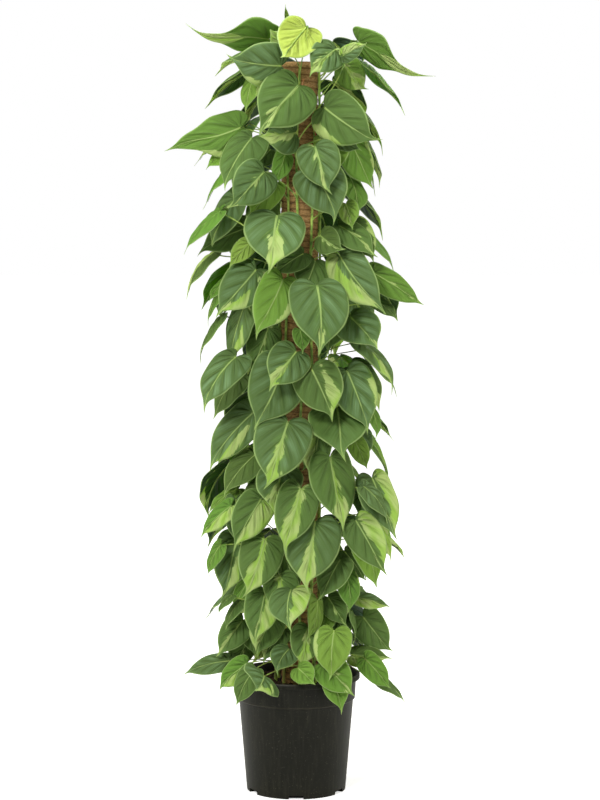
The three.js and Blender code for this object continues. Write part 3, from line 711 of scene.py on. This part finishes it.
dried_sheath = Finish("dried_sheath")
papery = dried_sheath.place.scaled(1, 1, 0.2).noise(500, 3, 0.6)
coral = (0.70, 0.16, 0.06)
straw = (0.50, 0.24, 0.10)
dried_sheath.set(Base_Color=dried_sheath.blend(coral, straw, papery.step(0.4, 0.65)), Roughness=0.6)
dried_sheath.bump(papery, 0.4, 0.0004)

# Leaves, where they hang: thin soft hearts in four layers round the pole, each held out to the
# light on its own stalk. Those in front hang where the front view shows them, and the others go
# round the sides and the back in a spiral.
VIEW_PLACE = (0.008, -5.0, 1.25)
VIEW_PITCH = math.radians(4.97)
VIEW_FOCAL = 2426
VIEW_CENTRE = (300, 400)
VIEW_STEP = 0.00207
POLE_U = 300
# Each front leaf: stalk end u, v, tip u, v and width, in pixels of the front view, then its turn in
# degrees, its layer from the pole and two letters. The first is the tone: s silver green, d dark,
# o olive, g bright green, l lime, y yellow, p pale. The second is where the lime lies: n nowhere,
# m midrib, w wedge, c centre, l and r halves, a and b margins, p and q wedges beside the midrib,
# y all over, t tail.
LEAF_ROWS = """
268 39 186 24 42 40 1 gt, 281 66 226 58 45 0 2 sb, 290 52 268 28 24 0 0 ly,
306 28 283 60 42 180 1 pn, 289 27 285 4 5 0 1 ln, 335 50 308 76 34 0 2 sw,
350 60 311 54 20 0 0 ly, 343 56 368 44 18 0 2 sr, 359 42 436 75 38 -42 1 gt,
345 66 366 91 30 0 1 lc, 254 78 246 113 30 -50 1 lb, 298 86 256 134 56 0 2 dm,
295 133 258 138 40 0 2 sw, 240 128 164 154 44 0 1 gb, 252 138 222 190 45 -35 1 dn,
232 148 206 169 26 -50 0 ln, 270 150 252 168 22 0 0 dn, 285 155 272 186 20 0 0 gn,
264 172 230 211 42 0 2 sm, 275 183 247 222 30 0 1 ln, 236 198 211 250 36 -45 1 sm,
220 212 184 254 38 -60 1 gn, 247 228 196 254 34 -20 1 dn, 250 243 228 268 20 0 0 yn,
277 216 272 274 60 0 2 sw, 266 202 256 240 32 0 0 on, 256 270 214 317 46 -15 2 sp,
226 281 209 302 18 -50 1 gn, 222 288 207 326 26 -60 1 gm, 283 280 252 338 42 0 2 lb,
246 303 230 366 40 -50 1 sp, 268 328 249 375 34 0 0 dm, 236 357 202 412 42 -55 1 sm,
240 376 215 421 36 -50 0 da, 283 365 252 430 57 0 1 sn, 296 352 268 390 42 0 2 sw,
300 330 303 354 17 0 2 gn, 317 286 320 357 59 0 2 sm, 315 261 300 296 38 0 0 dn,
303 254 272 276 26 0 0 dn, 321 236 345 252 28 0 1 om, 340 256 388 314 42 0 2 sl,
339 226 376 260 34 50 1 dm, 313 171 338 223 50 0 1 sn, 315 147 328 196 42 0 2 sm,
329 137 335 178 36 0 0 ll, 325 108 379 144 50 0 1 da, 350 140 372 190 44 30 1 gb,
322 112 346 142 24 0 0 dn, 336 138 362 150 18 0 1 sn, 350 178 357 216 38 30 1 gn,
346 204 353 230 22 0 1 ll, 352 224 376 262 34 20 0 db, 373 273 424 307 30 30 1 gm,
349 285 367 344 42 25 1 sw, 374 300 398 321 20 40 0 dn, 350 317 380 350 44 20 1 sm,
338 312 326 355 30 0 0 dn, 353 368 380 412 40 40 0 dw, 347 371 370 434 44 15 1 sb,
312 370 334 421 48 0 2 dp, 337 408 341 460 60 0 1 dn, 288 422 268 491 56 0 2 sw,
254 412 208 470 40 -20 1 sp, 255 455 222 497 36 -35 1 on, 238 489 207 514 22 -50 0 ln,
231 506 200 538 26 -40 1 gr, 262 484 240 500 20 0 0 on, 261 499 232 550 38 0 1 dr,
283 470 273 516 46 0 0 sw, 301 489 282 554 42 0 2 dc, 330 457 346 532 48 0 1 dw,
320 430 315 487 30 0 0 dl, 315 440 303 472 24 0 0 dn, 368 405 376 440 26 60 1 gn,
362 432 365 460 20 0 0 sn, 354 440 367 470 20 0 1 ln, 372 478 396 541 44 45 1 sr,
380 480 394 513 26 60 0 sn, 364 487 387 522 30 50 1 sn, 362 495 372 531 28 40 0 sn,
369 514 392 562 36 55 1 lc, 356 521 386 577 38 30 2 dr, 350 531 366 583 32 40 1 sn,
361 540 375 590 32 40 0 ln, 345 552 365 582 22 0 0 dn, 315 522 303 592 57 0 2 sw,
236 500 236 545 26 -20 0 sn, 236 538 223 600 40 -25 1 sp, 221 545 208 577 24 -55 0 gn,
265 539 246 599 44 0 2 dc, 279 576 285 618 36 0 1 dc, 284 556 300 594 24 0 0 dn,
265 592 253 645 36 0 2 dr, 291 590 290 632 42 0 1 sr, 272 616 255 657 34 0 1 dl,
249 580 233 612 24 -40 0 gn, 232 596 218 615 20 -50 1 dn, 240 602 226 630 24 -60 0 dn,
243 620 217 658 32 -20 1 dm, 248 640 229 671 28 0 1 dm, 229 661 183 675 24 -40 1 sn,
247 664 218 690 26 -30 0 gr, 254 670 237 707 26 0 3 dn, 289 649 275 674 28 0 0 sn,
264 676 256 692 46 0 3 sp, 298 668 315 686 24 0 3 ln, 308 628 302 670 32 0 1 dc,
317 600 305 641 24 70 1 ln, 340 560 320 602 34 0 1 dn, 328 597 347 628 26 0 0 dm,
327 612 319 640 22 0 1 ln, 345 572 349 614 26 20 0 gb, 351 612 353 645 24 70 1 dn,
357 598 391 608 24 50 1 sl, 363 617 391 653 36 15 1 dn, 352 655 393 658 26 30 1 ol,
365 659 390 690 26 30 1 gn, 334 668 344 714 28 0 3 ln, 325 664 354 697 34 0 3 gm,
334 631 332 681 38 0 3 la, 250 625 256 657 20 0 0 dn, 283 630 262 664 24 0 0 dl,
335 615 350 642 28 0 0 sn
"""
FRONT_LEAVES = [row.split() for row in LEAF_ROWS.split(",")]
BACK_LEAVES = 76
BACK_KINDS = "sn dm sw dn lc sm dp gn sn dw dc sq ol sr gb dn".split()
TRIES = 26
TRY_STEP = 0.007
LAYER_REACH = [0.064, 0.086, 0.108, 0.138]
SIDE_REACH = 0.092
FOLIAGE_REACH = 0.190
FRONT_SWAY = math.radians(16)
BACK_LOW = 0.292
BACK_RISE = 1.270
GOLDEN_TURN = 0.618034
STALK_DROPS = (0.034, 0.058, 0.082, 0.014, 0.110)
STALK_CHOICES = 15
STALK_RADIUS = 0.0014
HALF_BLADE = 0.0005
NEAR = 0.00006


def chance(leaf, attempt, use):
    """The number from 0 to 1 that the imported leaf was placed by."""
    top = 0xFFFFFFFF
    h = (leaf + 1) * 0x9E3779B1 & top
    h ^= (attempt + 1) * 0x85EBCA6B & top
    h ^= (use + 1) * 0xC2B2AE35 & top
    h ^= h >> 15
    h = h * 0x2C1B3C6D & top
    h ^= h >> 12
    h = h * 0x297A2D39 & top
    h ^= h >> 15
    return h / 4294967296


def point_in_view(u, v, y):
    """The point at depth y that the front view shows at pixel u, v."""
    across = (u - VIEW_CENTRE[0]) / VIEW_FOCAL
    up = (VIEW_CENTRE[1] - v) / VIEW_FOCAL
    ahead = math.cos(VIEW_PITCH) + up * math.sin(VIEW_PITCH)
    rise = -math.sin(VIEW_PITCH) + up * math.cos(VIEW_PITCH)
    t = (y - VIEW_PLACE[1]) / ahead
    return np.array([VIEW_PLACE[0] + across * t, y, VIEW_PLACE[2] + rise * t])


def turned(vector, axis, angle):
    c, s = math.cos(angle), math.sin(angle)
    return vector * c + np.cross(axis, vector) * s + axis * np.dot(axis, vector) * (1 - c)


def try_shift(attempt):
    step = TRY_STEP * math.ceil(attempt / 2)
    return -0.6 * step if attempt % 3 == 2 else step


def front_pose(index, attempt):
    """A front leaf as the view shows it; its layer and its foreshortening give its depth."""
    bu, bv, tu, tv, wide, turn, layer = map(int, FRONT_LEAVES[index][:7])
    shift = try_shift(attempt)
    shown = math.hypot(tu - bu, tv - bv) * VIEW_STEP
    width = wide * VIEW_STEP
    length = max(1.2 * width, 1.03 * shown)
    across = (bu - POLE_U) * VIEW_STEP
    inside = LAYER_REACH[layer] ** 2 - across**2
    side = -0.030 + 0.055 * (chance(index, 0, 1) - 0.5)
    y = (-math.sqrt(inside) if inside > 0.0009 else side) - shift
    depth = min(math.sqrt(length**2 - shown**2), 0.88 * length)
    forward = max(min(depth, FOLIAGE_REACH + y), 0)
    away = -1 if abs(across) > SIDE_REACH and chance(index, 0, 2) < 0.45 else 1
    base = point_in_view(bu, bv, y)
    tip = point_in_view(tu, tv, y - away * forward)
    eye = unit(np.array(VIEW_PLACE) - base)
    sway = FRONT_SWAY * (chance(index, attempt, 3) - 0.5) * min(attempt, 3)
    return leaf_frame(index, base, tip, eye, math.radians(turn) + sway, width)


def back_pose(index, attempt):
    """A leaf behind: the spiral's steps go round the sides and the back, and up the pole."""
    rank = index - len(FRONT_LEAVES)
    level = (rank + 0.5) / BACK_LEAVES
    turn = rank * GOLDEN_TURN + 0.03 * attempt * (chance(index, attempt, 4) - 0.5)
    share = 2 * (turn - math.floor(turn)) - 1
    a = math.pi * (0.5 + 0.62 * math.copysign(abs(share) ** 0.8, share))
    length = 0.106 + 0.026 * level + 0.026 * (chance(index, 0, 5) - 0.5)
    lean = math.radians(22 + 26 * chance(index, 0, 6) + 30 * max(level - 0.93, 0) * 14)
    reach = 0.072 + 0.034 * chance(index, 0, 7) + try_shift(attempt)
    z = BACK_LOW + BACK_RISE * level + 0.008 * attempt * (chance(index, attempt, 8) - 0.5)
    swing = 0.5 * (chance(index, 0, 9) - 0.5)
    out = np.array([math.cos(a), math.sin(a), 0])
    base = np.array([POLE_X, 0, z]) + out * reach
    down = np.array([math.cos(a + swing), math.sin(a + swing), 0]) * math.sin(lean)
    tip = base + (down + np.array([0, 0, -math.cos(lean)])) * length
    roll = math.radians(50) * (chance(index, attempt, 10) - 0.5)
    return leaf_frame(index, base, tip, out, roll, length * (0.78 + 0.06 * chance(index, 0, 11)))


def leaf_frame(index, base, tip, facing, roll, width):
    length = float(np.linalg.norm(tip - base))
    along = (tip - base) / length
    normal = turned(unit(facing - along * np.dot(facing, along)), along, -roll)
    return {
        "index": index,
        "base": base,
        "along": along,
        "normal": normal,
        "across": np.cross(normal, along),
        "length": length,
        "width": width,
        "arch": 0.05 + 0.07 * chance(index, 0, 12),
        "bow": 0.09 * (chance(index, 0, 13) - 0.5),
    }


def blade_point(leaf, u, v, lift):
    """Points of the blade: u from the stalk to the tip, v across in blade widths."""
    u, v = np.asarray(u, float)[..., None], np.asarray(v, float)[..., None]
    lift = np.asarray(lift, float)[..., None]
    hump = 4 * u * (1 - u)
    side = leaf["width"] * v + leaf["length"] * leaf["bow"] * hump
    fold = 0.1 * np.abs(2 * v) - 0.17 * (2 * v) ** 2
    rise = leaf["length"] * leaf["arch"] * hump + leaf["width"] * fold + lift
    point = leaf["base"] + leaf["along"] * leaf["length"] * u
    return point + leaf["across"] * side + leaf["normal"] * rise


def stalk_course(leaf, choice):
    """The stem that a stalk grows from, and the four points of its course to the blade."""
    options = []
    drop = STALK_DROPS[choice % len(STALK_DROPS)]
    for stem in range(STEM_COUNT):
        highest = min(leaf["base"][2] - drop, STEM_TOPS[stem] - 0.003)
        start = stem_point(stem, max(highest, SOIL_TOP + 0.034))
        options.append((float(np.linalg.norm(start - leaf["base"])), stem, start))
    options.sort(key=lambda option: option[0])
    far, stem, start = options[choice // len(STALK_DROPS)]
    out = unit(np.array([start[0] - POLE_X, start[1], 0]))
    up = np.array([0, 0, 1])
    leave = start + out * 0.32 * far + up * 0.28 * far
    arrive = leaf["base"] - leaf["normal"] * 0.3 * far + up * 0.05 * far
    return stem, [start, leave, arrive, leaf["base"]]


def bezier(points, t):
    t = np.asarray(t, float)[..., None]
    a, b, c, d = points
    return a * (1 - t) ** 3 + 3 * b * t * (1 - t) ** 2 + 3 * c * t * t * (1 - t) + d * t**3


corners = []
for stem in range(STEM_COUNT):
    stem_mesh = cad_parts[f"leafy_stem_{stem + 1}"].data
    corners += [vertex.co.copy() for vertex in stem_mesh.vertices]
packed = kdtree.KDTree(len(corners))
for i, corner in enumerate(corners):
    packed.insert(corner, i)
packed.balance()


def found_leaf(index):
    """The leaf at that try, and with that stalk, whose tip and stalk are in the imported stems."""
    pose = front_pose if index < len(FRONT_LEAVES) else back_pose
    for attempt in range(TRIES):
        leaf = pose(index, attempt)
        tips = [blade_point(leaf, 1.0, 0.0, lift) for lift in (HALF_BLADE, -HALF_BLADE)]
        if any(packed.find(tip)[2] >= NEAR for tip in tips):
            continue
        for choice in range(STALK_CHOICES):
            stem, course = stalk_course(leaf, choice)
            ring = packed.find_range(bezier(course, 0.5), STALK_RADIUS + NEAR)
            if sum(abs(far - STALK_RADIUS) < NEAR for _, _, far in ring) >= 3:
                leaf.update(stem=stem, course=course)
                return leaf
    return None


leaves = [found_leaf(index) for index in range(len(FRONT_LEAVES) + BACK_LEAVES)]
leaves = [leaf for leaf in leaves if leaf]

# Leaf blades: soft hearts that end in a drip tip, puffed between seven pairs of side veins, with a
# thin waved margin. The skin is green above, with lime marking, and paler below; on top of it lie a
# painted silver sheen, which is painted highlight between the veins, and painted shade in the
# creases.
# The mesh's rows run out along the side veins, so that all of it follows the leaf's growth.
EDGE = [(0, 0.008), (-0.055, 0.06), (-0.098, 0.12), (-0.122, 0.2), (-0.104, 0.31), (-0.043, 0.41)]
EDGE += [(0.06, 0.478), (0.2, 0.5), (0.38, 0.48), (0.56, 0.40), (0.69, 0.275), (0.77, 0.165)]
EDGE += [(0.83, 0.085), (0.9, 0.035), (1, 0.001)]
BLADE_ROWS = 36
BLADE_CELLS = 7
BLADE_SKIN = 0.0006
SIDE_VEINS = 7
QUILT_RISE = 0.044
LEAST_WAVE = 0.012
MOST_WAVE = 0.03
# The tissue's red, green and blue, and its share of painted silver sheen, a painted highlight.
TONES = {
    "s": (0.020, 0.060, 0.030, 0.85),
    "d": (0.024, 0.075, 0.009, 0.42),
    "o": (0.030, 0.055, 0.004, 0.15),
    "g": (0.110, 0.330, 0.003, 0.2),
    "l": (0.270, 0.530, 0.032, 0.15),
    "y": (0.620, 0.800, 0.120, 0.1),
    "p": (0.500, 0.640, 0.110, 0.2),
}
# The lime marking's middle line, and its reach to either side of that at the stalk and at the tip.
MARKS = {
    "n": (0.0, -0.2, -0.2),
    "m": (0.0, 0.004, 0.02),
    "w": (0.03, 0.0, 0.16),
    "c": (0.02, 0.07, 0.28),
    "l": (-0.34, 0.27, 0.30),
    "r": (0.34, 0.27, 0.30),
    "a": (-0.5, 0.10, 0.20),
    "b": (0.5, 0.10, 0.20),
    "p": (0.2, -0.03, 0.20),
    "q": (-0.2, -0.03, 0.20),
    "y": (0.0, 0.5, 0.6),
    "t": (0.0, -0.25, 0.85),
}
# Leaves by their row whose tip is drawn out in a tail: how far it is narrowed, and its swerve.
LONG_TAILS = {0: (0.62, -0.10), 8: (0.64, 0.10), 13: (0.40, 0.05)}


def smooth_line(points, count):
    """count points spread along a smooth line through the given ones."""
    points = np.array(points, float)
    ends = np.vstack([2 * points[0] - points[1], points, 2 * points[-1] - points[-2]])
    fine = []
    for i in range(len(points) - 1):
        p0, p1, p2, p3 = ends[i : i + 4]
        for t in np.arange(0, 1, 0.05):
            bend = (2 * p0 - 5 * p1 + 4 * p2 - p3) * t**2 + (3 * p1 - p0 - 3 * p2 + p3) * t**3
            fine.append(0.5 * (2 * p1 + (p2 - p0) * t + bend))
    fine = np.array(fine + [points[-1]])
    far = np.concatenate([[0], np.cumsum(np.linalg.norm(np.diff(fine, axis=0), axis=1))])
    wanted = np.linspace(0, far[-1], count)
    return np.stack([np.interp(wanted, far, fine[:, k]) for k in (0, 1)], axis=1)


deselect()
bpy.ops.mesh.primitive_grid_add(x_subdivisions=2 * BLADE_CELLS, y_subdivisions=BLADE_ROWS, size=2)
leaf_sheet = bpy.context.active_object
sheet_place = read_corners(leaf_sheet)
column = np.rint((sheet_place[:, 0] + 1) * BLADE_CELLS).astype(int)
line = np.rint((sheet_place[:, 1] + 1) * BLADE_ROWS / 2).astype(int)
edge_line = smooth_line(EDGE, BLADE_ROWS + 1)
rib_line = edge_line[:, 0] - 0.48 * (2 * edge_line[:, 1]) ** 0.4
rib_line = np.maximum.accumulate(np.clip(rib_line, 0, 1))
rib_line[-1] = 1
steps = np.linspace(-1, 1, 2 * BLADE_CELLS + 1)
sheet_out = (np.sign(steps) * np.abs(steps) ** 0.85)[column]
sheet_row = line / BLADE_ROWS
sheet_share = np.abs(sheet_out)
vein_bend = 0.06 * np.sin(np.pi * sheet_share) * sheet_row**0.5 * (1 - sheet_row)
sheet_u = rib_line[line] * (1 - sheet_share) + edge_line[line, 0] * sheet_share - vein_bend
sheet_v = np.sign(sheet_out) * (edge_line[line, 1] * sheet_share)
sheet_span = 2 * edge_line[line, 1]
for name in ("leaf_grow", "leaf_mark", "leaf_mood"):
    leaf_sheet.data.attributes.new(name, "FLOAT_VECTOR", "POINT")
leaf_sheet.data.attributes.new("leaf_tone", "FLOAT_COLOR", "POINT")


def store(mesh, name, *values):
    """Keeps three values for each corner, which the skin's patterns read."""
    rows = np.stack([np.broadcast_to(value, sheet_row.shape) for value in values], axis=1)
    mesh.attributes[name].data.foreach_set("vector", rows.ravel())


def make_blade(leaf):
    """A copy of the sheet, laid out as this leaf's heart, puffed and with its waved margin."""
    dice = random.Random(1000 + leaf["index"])
    index = leaf["index"]
    width = leaf["width"]
    if index < len(FRONT_LEAVES):
        tone, mark = FRONT_LEAVES[index][7]
    else:
        tone, mark = BACK_KINDS[dice.randrange(len(BACK_KINDS))]
    sheet = leaf_sheet.copy()
    sheet.data = leaf_sheet.data.copy()
    scene.collection.objects.link(sheet)
    slimmed, swerve = LONG_TAILS.get(index, (0.0, 0.0))
    narrowing = np.clip((sheet_u - 0.28) / 0.32, 0, 1)
    narrow = 1 - slimmed * narrowing**2 * (3 - 2 * narrowing)
    slim = np.sin(np.pi * np.clip(sheet_row, 0, 1)) * (narrow**3 * np.sqrt(sheet_span))
    quilt = np.abs(np.sin(np.pi * sheet_row * SIDE_VEINS)) ** 0.8
    rise = QUILT_RISE * width * quilt * np.sin(np.pi * np.clip(sheet_share, 0, 1) ** 0.7) * slim
    waves = dice.uniform(2.2, 3.6)
    phase = dice.uniform(0, 6)
    wave = np.sin(2 * np.pi * waves * sheet_row + phase + 1.3 * np.sign(sheet_out))
    rise += dice.uniform(LEAST_WAVE, MOST_WAVE) * width * wave * sheet_share**2.5 * slim
    tip = np.clip((sheet_u - 0.78) / 0.22, 0, 1) ** 2
    hook = dice.choice((-1, 1)) * dice.uniform(0.03, 0.12) * tip
    rise += dice.uniform(-0.08, 0.05) * tip * width
    hook += swerve * np.sin(2 * np.pi * np.clip(sheet_u, 0, 1))
    place = blade_point(leaf, sheet_u, sheet_v * narrow + hook, rise)
    place = np.clip(place, np.array(cad_box[0]) + BLADE_SKIN, np.array(cad_box[1]) - BLADE_SKIN)
    sheet.data.vertices.foreach_set("co", place.ravel())
    centre, start, end = MARKS[mark]
    store(sheet.data, "leaf_grow", sheet_row, sheet_out, sheet_u)
    store(sheet.data, "leaf_mark", centre + dice.uniform(-0.03, 0.03), start, end)
    # The tone's tissue colour, and its share of painted sheen highlight.
    *tissue, sheen_share = TONES[tone]
    sheen_share *= dice.uniform(0.65, 1.2)
    store(sheet.data, "leaf_mood", sheen_share, dice.random(), sheet_v)
    shade = dice.uniform(0.75, 1.22)
    green = [*(channel * shade * dice.uniform(0.9, 1.1) for channel in tissue), 1.0]
    sheet.data.attributes["leaf_tone"].data.foreach_set("color", np.tile(green, len(sheet_row)))
    return sheet


def blade_finish(name, under):
    """The skin above or under, in coats of colour that follow the veins and the marking, with painted
    sheen highlights and painted crease shade among them.
    """
    skin = Finish(name)
    row, out, u = skin.attribute("leaf_grow").parts()
    centre, start, end = skin.attribute("leaf_mark").parts()
    sheen_share, seed, v = skin.attribute("leaf_mood").parts()
    tone = skin.attribute("leaf_tone", out=0)
    away = out.size()

    vein = (row * (math.pi * SIDE_VEINS)).sine().size()
    small_vein = (row * (math.pi * SIDE_VEINS * 3)).sine().size()
    flow = skin.wire.node("ShaderNodeCombineXYZ", sockets={0: row * 46, 1: out * 0.9, 2: seed * 40})
    streak = flow.noise(1.0, 2, 0.55)
    broad = flow.scaled(0.14, 1.4, 1).noise(1.0, 1, 0.5)
    hair = flow.scaled(3, 1.5, 1).noise(1.0, 1, 0.5)

    rib = (v.size() + u * 0.010).step(0.023, 0.013)
    side_rib = vein.step(0.16, 0.05) * away.step(1.0, 0.5) * away.step(0.0, 0.06)
    # Painted shade: dark lines along the side-vein creases and the fine vein creases.
    crease_shade = vein.step(0.27, 0.0) * away.step(1.0, 0.3) * away.step(0.0, 0.12) * u.step(0.72, 0.45)
    wrinkle_shade = small_vein.step(0.35, 0.0) * away.step(0.1, 0.4) * away.step(1.0, 0.7)
    # Painted highlight on the flanks beside each side-vein crease.
    flank_highlight = vein.step(0.4, 0.6) * vein.step(0.95, 0.65) * away.step(0.8, 0.3) * sheen_share
    between = vein.step(0.25, 0.95) * away.step(0.02, 0.3) * away.step(1.02, 0.8)
    # Painted shade round the notch, where the lobes fold.
    notch = u.step(0.26, 0.0) * away.step(0.95, 0.2) * sheen_share
    margin = away.step(0.945, 0.975) * row.step(0.0, 0.08)

    reach = start + (end - start) * u.step(0.0, 1.0)
    ragged = ((streak - 0.5) * 0.14 + (broad - 0.5) * 0.40) * end.step(0.8, 0.65)
    inside_mark = reach - (v - centre).size() + ragged * away.step(0.0, 0.25)
    lime_part = inside_mark.step(-0.006, 0.012)
    halo = inside_mark.step(-0.10, 0.0)
    lime = skin.blend((0.56, 0.90, 0.11), (0.84, 0.99, 0.36), broad.step(0.36, 0.62))
    lime_streak = streak.step(0.52, 0.72) * u.step(0.85, 0.55) * 0.5
    lime = lime.mixed((0.30, 0.58, 0.055), lime_streak)

    # Painted sheen: a painted highlight on the puffed tissue between the veins, strongest on
    # silver-green leaves.
    painted_sheen = sheen_share * (between * 0.9 + 0.02) * (streak.step(0.3, 0.75) * 0.8 + 0.2)
    painted_sheen = painted_sheen * (broad.step(0.62, 0.4) + 0.18)
    painted_sheen_colour = skin.blend((0.13, 0.30, 0.030), (0.245, 0.410, 0.255), sheen_share.step(0.35, 0.7))
    pale = tone.parts()[1].step(0.25, 0.6)
    # Painted shade in the creases, the fine vein creases and round the notch, with darker random
    # streaks; paler leaves get less.
    painted_shade_and_mottle = crease_shade * (streak * 0.6 + 0.62) + wrinkle_shade * (u.step(0.6, 0.0) * 0.25 + 0.26)
    painted_shade_and_mottle = (painted_shade_and_mottle + notch * 0.4 + hair.step(0.52, 0.34) * 0.22) * (1 - pale * 0.7)
    coats = [
        (painted_sheen_colour, painted_sheen),
        # Painted sheen, lighter towards the tip.
        ((0.15, 0.26, 0.12), u.step(0.45, 1.0) * sheen_share * 0.3),
        # Painted highlight beside the creases.
        ((0.24, 0.39, 0.22), flank_highlight * streak.step(0.35, 0.65) * 0.35),
        # Painted sheen in fine silver streaks.
        ((0.30, 0.44, 0.26), hair.step(0.56, 0.72) * sheen_share * 0.16),
        # Painted shade: dark green laid into the creases and round the notch.
        ((0.005, 0.020, 0.004), painted_shade_and_mottle),
        ((0.14, 0.30, 0.04), halo * streak.step(0.35, 0.6) * 0.6),
        (lime, lime_part),
        # Painted shade in the creases across the lime marking.
        ((0.13, 0.27, 0.02), crease_shade * lime_part * 0.5),
        ((0.50, 0.74, 0.20), u.step(0.84, 0.95) * 0.75),
        ((0.64, 0.84, 0.27), rib * 0.95 + side_rib * 0.10),
        ((0.54, 0.74, 0.28), margin * 0.8),
    ]
    if under:
        coats.append(((0.22, 0.36, 0.09), 0.5))
    body = tone
    for colour, amount in coats:
        body = body.mixed(colour, amount)
    skin.set(Base_Color=body, Specular_IOR_Level=0.17)
    skin.set(Roughness=0.62 if under else 0.38 + streak * 0.16)

    relief = vein.step(0.0, 0.9) * away.step(0.0, 0.3) * away.step(1.0, 0.6)
    relief = (relief + hair * 0.12 + streak * 0.15) * u.step(0.92, 0.55)
    skin.bump(relief * (-1 if under else 1), 0.9, 0.0046)
    glow = skin.wire.node("ShaderNodeBsdfTranslucent", sockets={"Color": (0.22, 0.42, 0.03)})
    shader = Wire(skin.tree, skin.shader.outputs[0])
    sockets = {0: 0.22 if under else 0.09, 1: shader, 2: glow}
    leaf_skin = skin.wire.node("ShaderNodeMixShader", sockets=sockets)
    skin.wire.feed(skin.tree.nodes["Material Output"].inputs["Surface"], leaf_skin)
    return skin.material


leaf_sheet.data.materials.append(blade_finish("leaf_upper_skin", False))
leaf_sheet.data.materials.append(blade_finish("leaf_lower_skin", True))

# Leaf stalks, midribs and the whole climbers: a round green stalk leaves the stem, bends over to
# the blade's notch and runs on under the blade as its midrib. Each climber is one grown thing, so
# its stem, stalks, blades, roots and sheaths are joined.
STALK_KNOTS = 14
RIB_KNOTS = 13
RIB_RADIUS = 0.0013


def add_stalk(lines, leaf):
    t = np.linspace(0, 1, STALK_KNOTS)
    ribs = np.linspace(0.02, 0.86, RIB_KNOTS)
    swerve = LONG_TAILS.get(leaf["index"], (0.0, 0.0))[1] * np.sin(2 * np.pi * ribs)
    under = -0.012 * leaf["width"] * np.sin(np.pi * ribs) - 0.0004
    midrib = blade_point(leaf, ribs, swerve, under)
    radii = [0.0016 - 0.0005 * math.sin(math.pi * k) for k in t]
    radii += [RIB_RADIUS * (1 - 0.85 * r) for r in ribs]
    add_line(lines, [*bezier(leaf["course"], t), *midrib], radii)


for stem in range(STEM_COUNT):
    own = [leaf for leaf in leaves if leaf["stem"] == stem]
    greens = new_lines(f"stem_lines_{stem + 1}", 2)
    roots = new_lines(f"root_lines_{stem + 1}", 1)
    sheaths = new_lines(f"sheath_lines_{stem + 1}", 2)
    add_stem(greens, stem, [leaf["course"][0][2] for leaf in own])
    for leaf in own:
        add_stalk(greens, leaf)
    add_grip_roots(roots, stem)
    add_sheaths(sheaths, stem)
    parts = [meshed(greens, green_stalk), meshed(roots, root_bark)]
    foliage = join([make_blade(leaf) for leaf in own])
    thick = foliage.modifiers.new("skin", "SOLIDIFY")
    thick.thickness = BLADE_SKIN
    thick.offset = 0
    thick.material_offset = 1
    apply_modifier(foliage, thick)
    bpy.ops.object.shade_smooth()
    parts.append(meshed(sheaths, dried_sheath))
    join([foliage, *parts])
    foliage = own_mesh(f"leafy_climber_{stem + 1}")
    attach(foliage, "root")
    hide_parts(f"leafy_stem_{stem + 1}")
bpy.data.objects.remove(leaf_sheet)

# Studio: the plant stands on a pale seamless paper floor before a white wall. Large soft lamps
# light it, with a warm strip at either side, and a portrait lens looks on from five metres away.
deselect()
bpy.ops.mesh.primitive_plane_add(size=60, location=(0, 0, -0.0003))
floor = own_mesh("studio_floor")
paper = Finish("studio_paper")
tooth = paper.place.noise(3, 2, 0.5)
x, y, z = paper.place.parts()
far = (x * x + y * y).step(0.0, 12.0)
seen = paper.wire.node("ShaderNodeLightPath")
lit = paper.blend((0.60, 0.60, 0.60), (1, 1, 1), far)
paper.set(Base_Color=paper.blend((0.86, 0.86, 0.86), (0.84, 0.84, 0.84), tooth))
paper.set(Emission_Color=paper.blend((0, 0, 0), lit, seen), Emission_Strength=1.0, Roughness=0.9)
floor.data.materials.append(paper.material)

room = bpy.data.worlds.new("studio_room")
room.use_nodes = True
ambient = room.node_tree.nodes["Background"]
air = Wire(room.node_tree, ambient.outputs[0])
air.feed(ambient.inputs["Color"], (1, 1, 0.90))
air.feed(ambient.inputs["Strength"], 0.17)
wall = air.node("ShaderNodeBackground", sockets={"Color": (1, 1, 1), "Strength": 1.0})
seen = air.node("ShaderNodeLightPath")
backdrop = air.node("ShaderNodeMixShader", sockets={0: seen, 1: air, 2: wall})
air.feed(room.node_tree.nodes["World Output"].inputs["Surface"], backdrop)
scene.world = room
scene.view_settings.view_transform = "Standard"


def softbox(name, place, aim, size, power, tint=(1, 1, 1)):
    data = bpy.data.lights.new(name, "AREA")
    data.shape = "RECTANGLE"
    data.size, data.size_y = size
    data.energy = power
    data.color = tint
    lamp = new_object(name, data)
    lamp.location = place
    lamp.rotation_euler = (Vector(aim) - Vector(place)).to_track_quat("-Z", "Y").to_euler()


WARM = (1.0, 0.98, 0.78)
softbox("key_front", (-1.6, -3.7, 3.4), (0, 0, 1.1), (1.0, 1.0), 128)
softbox("fill_front", (2.4, -3.8, 1.9), (0, 0, 0.7), (1.6, 1.6), 12)
softbox("left_strip", (-2.6, 0.35, 1.3), (0, 0, 0.75), (0.6, 2.4), 37, WARM)
softbox("right_strip", (2.6, 0.35, 1.3), (0, 0, 0.75), (0.6, 2.4), 37, WARM)
softbox("back_soft", (0.9, 3.9, 2.7), (0, 0, 0.95), (1.6, 1.6), 60)
softbox("top_soft", (0, -0.6, 3.9), (0, 0, 0.8), (1.6, 1.6), 66)

view_data = bpy.data.cameras.new("front_view")
view_data.sensor_width = 36
view_data.lens = 109.2
view_data.clip_end = 60
front_view = new_object("front_view", view_data)
front_view.location = VIEW_PLACE
front_view.rotation_euler = (math.pi / 2 - VIEW_PITCH, 0, 0)
scene.camera = front_view
